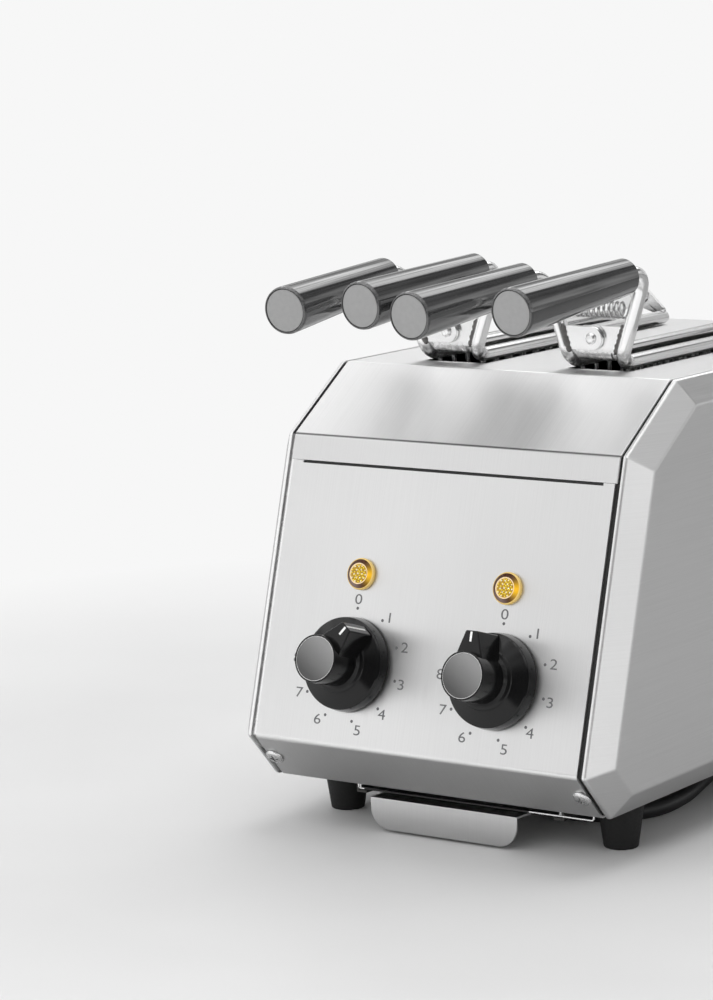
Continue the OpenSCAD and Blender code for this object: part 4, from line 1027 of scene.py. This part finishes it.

# %% [markdown]
# ## Handles
# A handle is a tube of glossy plastic that thickens to the front, with a rounded rim and a matt disc let
# into its front end. One turned profile with a shallow recess gives the tube, and the disc is turned to
# sit in it, with a groove round it painted near black as painted shade.

# %% Handles
handle_profile = rounded(
    [(0, 0.7), (9, 0.7), (9, 0.12), (9.2, 0), (9.6, 0.35), (9.88, 1.5), (HANDLE_REAR_R, HANDLE_LEN),
     (3.5, HANDLE_LEN), (3.05, HANDLE_LEN - 0.8), (3.05, 34), (0, 34)], 0.55, 5)
disc_profile = rounded([(0, 0.68), (8.7, 0.68), (8.7, 0.28), (4, 0.16), (0, 0.14)], 0.2, 3)
groove_profile = [(8.66, 0.69), (8.66, 0.4), (8.98, 0.3), (8.98, 0.69), (8.66, 0.69)]
for slot, half, body, name in TONG_HALVES:
    way = handle_way(slot, half)
    front = handle_rear(slot, half) - HANDLE_LEN * way
    across = Z.cross(-way).normalized()
    place = frame_of(across, way.cross(across), way, on_tong(slot, [front])[0])
    handle = lathe(name + "_grip", handle_profile, place, handle_gloss)
    settle(handle, body, "handle_plastic", name + "_handle")
    disc = lathe("disc", disc_profile, place, handle_matt, 48)
    # Painted shade: the groove ring round the disc takes the near-black finish.
    groove = lathe("groove", groove_profile, place, painted_gap_shade, 48)
    settle(joined(name + "_grip_disc", [disc, groove]), body, "handle_plastic")

# %% [markdown]
# ## Wire grids
# A grid is a row of wires bent inwards at the bottom, so that the sandwich stands on them, tied by long
# wires. The first wire is drawn once, and the tree repeats it along the slot.

# %% Grids
WIRE_R = 1
CAGE_X = 11
CAGE_Y = 98
CAGE_RUN = 139
CAGE_Z = 48
CAGE_WIRES = 14
RAIL_X = 13.1
for slot, half, body, name in TONG_HALVES:
    hook = [(half * x, CAGE_Y, z) for x, z in ((CAGE_X, ROD_Z - 3.1), (CAGE_X, CAGE_Z), (1.5, CAGE_Z))]
    row = wires("row", on_tong(slot, rounded(hook, [3.5], 6)), WIRE_R, wire_bright, CAGE_WIRES,
                (0, CAGE_RUN / (CAGE_WIRES - 1), 0))
    rail = [(half * RAIL_X, y, 72) for y in (96, 167, 239)]
    rails = wires("rails", on_tong(slot, rail), WIRE_R, wire_bright, 3, (0, 0, 49))
    settle(joined(name + "_wire_grid", [row, rails]), body, "chrome_steel", name + "_grid")

# %% [markdown]
# ## Hinges
# The two halves turn on a rivet through two small plates. The plates are welded to the uprights, and the
# heat left the beads dark and lumpy. The plates are eased copies of the solids, the rivet is turned with
# domed heads, and a bead is a short sweep whose radius wanders.

# %% Hinge plates, rivets and welds
RIVET_YS = (85.55, 241.7)
HINGE_PARTS = (("hinge_tab", -1, 86.9), ("hinge_plate", 1, 89.1))
BEAD_R = 1.15
BEAD_REACH = 5
BEAD_STEPS = 14


def weld_bead(name, start, end, radius, seed):
    path = [start.lerp(end, k / BEAD_STEPS) for k in range(BEAD_STEPS + 1)]
    lumps = [0.22 * sin(2.1 * k + seed) + 0.12 * sin(5.3 * k + 2 * seed)
             for k in range(BEAD_STEPS + 1)]
    return sweep(name, path, [radius * (1 + lump) for lump in lumps], weld_dark, 12)


rivet_profile = rounded(
    [(0, 0), (1.5, 0.1), (2.4, 0.8), (2.4, 1.2), (1.6, 1.2), (1.6, 5.7), (2.4, 5.7), (2.4, 6.1),
     (1.5, 6.8), (0, 6.9)], 0.25, 3)
for tong, slot, bodies in TONGS:
    for part, half, y in HINGE_PARTS:
        name = f"{tong}_{part}"
        settle(eased_copy(name, name + "_sheet", wire_darker_low, 0.3), bodies[half], "chrome_steel", name)
        heights = (PIVOT_Z - BEAD_REACH, PIVOT_Z + BEAD_REACH)
        ends = on_tong(slot, [(half * (upright_x(half, z) - ROD_R), y, z) for z in heights])
        bead = weld_bead(name + "_weld", *ends, BEAD_R * MM, slot + half)
        settle(bead, bodies[half], "chrome_steel")
    rivets = []
    for y in RIVET_YS:
        place = frame_of(X, -Z, Y, bench(slot * SLOT_X, y, PIVOT_Z))
        rivets.append(lathe("rivet", rivet_profile, place, wire_bright, 32))
    settle(joined(tong + "_domed_rivets", rivets), tong, "chrome_steel", tong + "_rivet")

# %% [markdown]
# ## Springs
# A tight spring between the uprights pushes the handles apart. Its wire leaves the curls in a short
# straight end at each upright. The wire tree draws it along the helix.

# %% Springs
SPRING_R = 3.2
SPRING_WIRE_R = 0.55
SPRING_TURNS = 12
SPRING_STEPS = 20
SPRING_END = 1.1
for tong, slot, bodies in TONGS:
    first, last = (half * (upright_x(half, SPRING_Z) - 3.5) for half in HALVES)
    run = last - first - 2 * SPRING_END
    coils = [(first, UPRIGHT_Y + SPRING_R, SPRING_Z)]
    for k in range(SPRING_TURNS * SPRING_STEPS + 1):
        angle = 2 * pi * k / SPRING_STEPS
        coils.append((first + SPRING_END + run * k / (SPRING_TURNS * SPRING_STEPS),
                      UPRIGHT_Y + SPRING_R * cos(angle), SPRING_Z + SPRING_R * sin(angle)))
    coils.append((last, UPRIGHT_Y + SPRING_R, SPRING_Z))
    spring = wires(tong + "_coil_spring", on_tong(slot, coils), SPRING_WIRE_R, wire_spring, sides=10)
    settle(spring, tong, "chrome_steel", tong + "_spring")
    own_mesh(spring)

# %% [markdown]
# ## Dial print
# Nine dots and the numbers 0 to 8 are printed round each timer, clockwise from the top. The dots repeat
# along an arc, so a small tree sets them out. The numbers are text turned into a thin mesh.

# %% Dot tree
dot_tree, dot_parts = new_tree(
    "dial_dots", {"Count": "Int", "Ring Radius": "Float", "Sweep": "Float", "Dot Radius": "Float",
                  "Film": "Float"}, arc="CurveArc", disc="MeshCylinder")
dot_parts["arc"].inputs["Start Angle"].default_value = pi / 2
dot_parts["disc"].inputs["Vertices"].default_value = 20
join_up(dot_tree, dot_parts, "in.Count > arc.Resolution", "in.Ring Radius > arc.Radius",
        "in.Sweep > arc.Sweep Angle", "in.Dot Radius > disc.Radius", "in.Film > disc.Depth",
        "arc.Curve > set.Points", "disc.Mesh > set.Instance")

# %% Dots and numbers
MARK_STEP = 33.75
MARK_R = 23.45
DOT_R = 0.65
NUMBER_SIZE = 6.0
INK = 0.04
NUMBER_WIDEN = Matrix.Diagonal((1.3, 1, 1, 1))
NUMBER_BESIDE = [(-0.1, 3.8), (3.4, 1.4), (4.0, 0.5), (3.2, -1.2), (2.2, -2.1), (3.2, -3.4), (-3.6, -2.0),
                 (-3.9, -0.6), (-3.4, 0.5)]


def number(word, place):
    text = bpy.data.curves.new("number", "FONT")
    text.body = word
    text.size = NUMBER_SIZE * MM
    text.extrude = 0.015 * MM
    holder = show("number", text)
    mesh = evaluated_mesh(holder)
    bpy.data.objects.remove(holder)
    for axis in (0, 1):
        span = [vertex.co[axis] for vertex in mesh.vertices]
        middle = (min(span) + max(span)) / 2
        for vertex in mesh.vertices:
            vertex.co[axis] -= middle
    mesh.transform(place @ NUMBER_WIDEN)
    recoat(mesh, print_ink)
    return show("number", mesh)


for side, word in HALVES.items():
    dots = new_piece(word + "_dots", [(0, 0, 0)], [], print_ink)
    grow(dots, dot_tree, {"Count": 9, "Ring Radius": MARK_R * MM, "Sweep": -radians(8 * MARK_STEP),
                          "Dot Radius": DOT_R * MM, "Film": INK * MM, "Finish": print_ink})
    dots.data.transform(on_panel(side * DIAL_X, DIAL_UP))
    marks = [dots]
    for step, (right, up) in enumerate(NUMBER_BESIDE):
        angle = radians(90 - step * MARK_STEP)
        marks.append(number(str(step), on_panel(side * DIAL_X + MARK_R * cos(angle) + right,
                                                DIAL_UP + MARK_R * sin(angle) + up)))
    settle(joined(word + "_dial_print", marks), "body", "black_plastic")

# %% [markdown]
# ## Timer knobs
# A knob has a low wide skirt, a round grip and a long pointer from the grip to the skirt's edge, all in
# glossy black. A satin disc with a bright rim is let into the grip, and a white line runs along the
# pointer's end. The skirt and grip are turned, and the pointer is a plate with eased edges. The disc's
# colour is a painted sheen, lighter to one side, so every point of the disc carries its place across as
# an attribute.

# %% Knob finishes
def attribute(tree, name):
    node = add_node(tree, "Attribute")
    node.attribute_name = name
    return node.outputs


def local_points(piece, place):
    return [place.inverted() @ vertex.co for vertex in piece.data.vertices]


knob_satin, tree = new_finish("knob_disc_painted_sheen", 0.2, Metallic=0.6, Roughness=0.4)
satin_marks = grain(tree, 700, 4.0)
# Painted sheen: the disc's colour runs from 0.08 to 0.26 across it, lighter to one side.
painted_sheen_mix = spread(tree, attribute(tree, "painted_sheen_across")["Fac"], 0, 1, -0.8, 0.8)
feed(tree, "Base Color", two_tone(tree, painted_sheen_mix, 0.08, 0.26))
feed(tree, "Roughness", spread(tree, satin_marks, 0.36, 0.46))
relief(tree, satin_marks, 0.03)
print("knob disc finish", knob_satin.name)

# %% Knobs
KNOB_TURNS = {-1: -38, 1: 0}
POINTER_END = 18.3
POINTER_TOP = 22.8
LINE_HALF = 0.48
skirt_profile = rounded(
    [(0, 0.8), (19.1, 0.8), (19.7, 1.4), (19.1, 6), (18.3, 6.5), (12.6, 8.4), (12.3, 8.9), (11, 9.2),
     (9.9, 10.4), (9.9, 25.7), (9.2, 25.7), (9.2, 24.9), (0, 24.9)], 0.35, 4)
satin_profile = rounded(
    [(0, 24.9), (8.95, 24.9), (8.95, 25.5), (8.5, 25.42), (4, 25.12), (0, 25.05)], 0.15, 3)
ring_profile = rounded(
    [(8.98, 24.9), (9.17, 24.9), (9.17, 25.55), (8.98, 25.55), (8.98, 24.9)], 0.06, 2)
pointer_outline = [(-8, 2.5), (8, 2.5), (2.8, POINTER_END), (-2.8, POINTER_END)]


def white_line(place, start, end, low, high):
    outline = [(-LINE_HALF, start), (LINE_HALF, start), (LINE_HALF, end), (-LINE_HALF, end)]
    return plate("line", outline, place, low, high, white_ink)


for side, word in HALVES.items():
    body = word + "_knob"
    place = on_panel(side * DIAL_X, DIAL_UP, KNOB_TURNS[side])
    grip = lathe("grip", skirt_profile, place, knob_gloss, 96)
    pointer = ease(plate("pointer", pointer_outline, place, 5, POINTER_TOP, knob_gloss), 0.5, 3)
    settle(joined(body + "_moulding", [grip, pointer]), body, "knob_plastic", body)
    disc = lathe(body + "_disc", satin_profile, place, knob_satin)
    # Painted sheen: each point stores its place across the disc, which the finish turns into a lighter side.
    sheen = disc.data.attributes.new("painted_sheen_across", "FLOAT", "POINT")
    points = local_points(disc, on_panel(side * DIAL_X, DIAL_UP))
    sheen.data.foreach_set("value", [(0.5 * p.x + 0.87 * p.y) / (9 * MM) for p in points])
    settle(disc, body, "knob_face", body + "_cap")
    settle(lathe(body + "_rim", ring_profile, place, wire_bright), body, "chrome_steel")
    line_top = white_line(place, 13.9, 17.85, POINTER_TOP - 0.02, POINTER_TOP + 0.05)
    end_place = place @ Matrix.Translation((0, POINTER_END * MM, 0)) @ Matrix.Rotation(-pi / 2, 4, "X")
    line_end = white_line(end_place, -22.3, -9, -0.02, 0.05)
    settle(joined(body + "_line", [line_top, line_end]), body, "knob_face")

# %% [markdown]
# ## Signal lamps
# A lamp is an amber button: a glossy moulded collar and, inside it, a paler window whose back is moulded
# into small prisms, yellow ones and near-white ones whose colour is painted glints. A tree scatters the
# prisms over the window with a fixed seed. The collar's colour is painted light: a painted glow at one
# side, a painted highlight round its inner ring, painted shade in dark brown elsewhere and a greyer patch
# at the lower left, so every point of the collar carries that colour as an attribute.

# %% Lamp finishes
amber_gloss = moulded("amber_collar", (0.8, 0.5, 0.08), 0.08, 0.03, 0.02, 500, ior=1.3)
# Painted light: the collar's base colour is read from its painted-light attribute.
feed(amber_gloss.node_tree, "Base Color", attribute(amber_gloss.node_tree, "amber_painted_light")["Color"])
amber_deep = moulded("amber_window", (0.42, 0.24, 0.01), 0.18, 0.05, 0.1, 900)
prism_yellow = moulded("amber_prisms", (1.0, 0.72, 0.05), 0.1, 0.05, 0.05, 900)
# Painted glints: near-white prisms among the yellow ones.
prism_painted_glint = moulded("cream_prisms", (1.0, 0.9, 0.72), 0.1, 0.05, 0.05, 900)
AMBER_RIM = Vector((0.85, 0.6, 0.2, 1))
AMBER_PAINTED_RING_HIGHLIGHT = Vector((0.95, 0.74, 0.44, 1))
AMBER_PAINTED_SHADE = Vector((0.06, 0.018, 0.006, 1))
AMBER_GREY_SIDE = Vector((0.22, 0.15, 0.13, 1))
AMBER_PAINTED_GLOW = Vector((1.0, 0.56, 0.03, 1))


# Painted light: a glow at one side, a highlight at the inner ring, shade in dark brown elsewhere.
def collar_tone(point):
    reach = hypot(point.x, point.y) / MM
    if reach > 6.05:
        return AMBER_RIM
    if reach < 4.4:
        return AMBER_PAINTED_RING_HIGHLIGHT
    bearing = degrees(atan2(point.y, point.x))
    painted_glow = exp(-((bearing + 4) / 34) ** 2)
    grey_side = exp(-((bearing + 115) / 38) ** 2)
    return AMBER_PAINTED_SHADE.lerp(AMBER_GREY_SIDE, grey_side).lerp(AMBER_PAINTED_GLOW, painted_glow)


print("lamp finishes", 4)

# %% Prism tree
prism_tree, prism_parts = new_tree(
    "lens_prisms", {"Spacing": "Float", "Prism Radius": "Float", "Seed": "Int"},
    points="DistributePointsOnFaces", ball="MeshIcoSphere")
prism_parts["points"].distribute_method = "POISSON"
prism_parts["points"].inputs["Density Max"].default_value = 9.0e6
prism_parts["ball"].inputs["Subdivisions"].default_value = 2
join_up(prism_tree, prism_parts, "in.Geometry > points.Mesh", "in.Spacing > points.Distance Min",
        "in.Seed > points.Seed", "in.Prism Radius > ball.Radius", "points.Points > set.Points",
        "ball.Mesh > set.Instance")

# %% Signal lamps
PRISM_R = 0.36
PRISM_FIELD_R = 3.5
PRISM_UP = 2.85
FIELD_SIDES = 24
PRISMS = ((prism_yellow, 0.85, 4), (prism_painted_glint, 1.5, 9))
collar_profile = rounded(
    [(0, 0), (6.6, 0), (6.65, 1.2), (6.4, 1.75), (6.1, 1.9), (6.0, 1.95), (5.4, 2.4), (4.6, 2.85),
     (4.45, 2.92), (4.35, 2.95), (4.1, 2.98), (3.9, 2.7), (0, 2.7)], 0.12, 3)
window_profile = rounded([(0, 2.65), (3.88, 2.65), (3.88, 2.76), (2.3, 2.9), (0, 2.94)], 0.08, 2)
for side, word in HALVES.items():
    place = on_panel(side * DIAL_X, LAMP_UP)
    collar = lathe(word + "_lamp_collar", collar_profile, place, amber_gloss)
    # Painted light: each point of the collar stores its painted colour.
    tones = collar.data.attributes.new("amber_painted_light", "FLOAT_COLOR", "POINT")
    points = local_points(collar, place)
    tones.data.foreach_set("color", [v for point in points for v in collar_tone(point)])
    settle(collar, "body", "amber_lens", word + "_lamp")
    settle(lathe(word + "_lamp_window", window_profile, place, amber_deep, 48), "body", "amber_lens")
    angles = [k * pi / (FIELD_SIDES / 2) for k in range(FIELD_SIDES)]
    field = [place @ Vector((PRISM_FIELD_R * MM * cos(angle), PRISM_FIELD_R * MM * sin(angle),
                             PRISM_UP * MM)) for angle in angles]
    prisms = []
    for finish, spacing, seed in PRISMS:
        group = new_piece("prisms", field, [tuple(range(FIELD_SIDES))], finish)
        grow(group, prism_tree, {"Spacing": spacing * MM, "Prism Radius": PRISM_R * MM, "Seed": seed,
                                 "Finish": finish})
        prisms.append(shade(group, 60))
    settle(joined(word + "_lamp_prisms", prisms), "body", "amber_lens")

# %% [markdown]
# ## Screws and feet
# Four domed screws hold the folds at the lower corners, and one holds each rubber foot. A screw is made
# once, with a cross cut into its head, and a tree sets copies on points that carry their own turn.

# %% Screw tree
screw_tree, screw_parts = new_tree("screw_set", {"Screw": "Object"}, turn="InputNamedAttribute",
                                   size="InputNamedAttribute", shape="ObjectInfo")
screw_parts["turn"].data_type = "FLOAT_VECTOR"
for label in ("turn", "size"):
    screw_parts[label].inputs["Name"].default_value = label
join_up(screw_tree, screw_parts, "in.Geometry > set.Points", "in.Screw > shape.Object",
        "shape.Geometry > set.Instance", "turn.Attribute > set.Rotation", "size.Attribute > set.Scale")

# %% Screw head
head_profile = rounded([(0, -4.9), (1.7, -4.9), (1.7, 0.1), (3.2, 0.1), (3.15, 0.55), (2.5, 1.05),
                        (1.4, 1.3), (0, 1.38)], 0.15, 3)
screw_head = lathe("screw_head", head_profile, Matrix.Identity(4), wire_bright, 32, 40)
for turn in (0, 90):
    blade = plate("blade", [(-1.7, -0.32), (1.7, -0.32), (1.7, 0.32), (-1.7, 0.32)],
                  Matrix.Rotation(radians(turn), 4, "Z"), 0.45, 3, wire_bright)
    cut = screw_head.modifiers.new("cross", "BOOLEAN")
    cut.operation = "DIFFERENCE"
    cut.solver = "EXACT"
    cut.object = blade
    baked(screw_head)
    bpy.data.objects.remove(blade)
shade(screw_head, 40)
print("screw head", len(screw_head.data.polygons), "faces")

# %% Screws
FOLD_SCREW = (75.4, 9.5, 30.1)
FOLD_SCREW_SIZE = 1.3
FOOT_X = 68
FOOT_YS = {"front": 50.7, "rear": 255.3}
FEET = [(f"{end}_{word}_foot", half * FOOT_X, y)
        for end, y in FOOT_YS.items() for half, word in HALVES.items()]
screw_x, screw_in, screw_z = FOLD_SCREW
screw_spots = []
for half in HALVES:
    for y, way in ((screw_in, -1), (BODY_DEPTH - screw_in, 1)):
        turn = Vector((0, way * (FOOT_Z - BASE_Z), -FOLD_RUN)).to_track_quat("Z", "Y").to_euler()
        screw_spots.append((bench(half * screw_x, y, screw_z), turn, FOLD_SCREW_SIZE))
for name, x, y in FEET:
    screw_spots.append((bench(x, y, 3.3), Vector((pi, 0, 0.4)), 1.0))
screw_mesh = bpy.data.meshes.new("screw_spots")
screw_mesh.from_pydata([tuple(spot) for spot, turn, size in screw_spots], [], [])
turns = screw_mesh.attributes.new("turn", "FLOAT_VECTOR", "POINT")
turns.data.foreach_set("vector", [v for spot, turn, size in screw_spots for v in turn])
sizes = screw_mesh.attributes.new("size", "FLOAT", "POINT")
sizes.data.foreach_set("value", [size for spot, turn, size in screw_spots])
screws = grow(show("screw_set", screw_mesh), screw_tree, {"Screw": screw_head, "Finish": wire_bright})
bpy.data.objects.remove(screw_head)
settle(shade(screws, 40), "body", "chrome_steel", "screws")

# %% Feet
foot_profile = rounded(
    [(0, 5), (3.9, 5), (4.2, 0), (7.1, 0), (9.9, 19.2), (10, 20), (0, 20)], 0.9, 5)
for name, x, y in FEET:
    foot = lathe(name + "_rubber", foot_profile, Matrix.Translation(bench(x, y, 0)), foot_rubber, 48)
    settle(foot, "body", "foot_rubber", name)

# %% [markdown]
# ## Crumb tray
# The tray is one folded sheet, and its front tab hangs down as a handle. An eased copy of the solid is
# all that it needs.

# %% Crumb tray
tray = lay_brushing(eased_copy("crumb_tray", "tray_sheet", steel_front, 0.25), BRUSHED_UP)
settle(tray, "tray", "stainless", "crumb_tray")

# %% [markdown]
# ## Slot guards
# Wire guards keep the cages off the quartz tubes. The wire tree draws them as it drew the grids.

# %% Guards
GUARD_X = 24.2
GUARD_Y = 83
GUARD_STEP = 169 / 7
for slot, word in HALVES.items():
    guard_pieces = []
    for half in HALVES:
        x = slot * SLOT_X + half * GUARD_X
        post = [bench(x, GUARD_Y + GUARD_STEP, z) for z in (27, 100, 182)]
        guard_pieces.append(wires("posts", post, WIRE_R, steel_inner, 6, (0, GUARD_STEP, 0)))
        rail = [bench(x, y, 36) for y in (83.1, 167, 251.9)]
        guard_pieces.append(wires("rails", rail, WIRE_R, steel_inner, 2, (0, 0, 137)))
    settle(joined(word + "_wire_guard", guard_pieces), "body", "inner_steel", word + "_slot_guard")
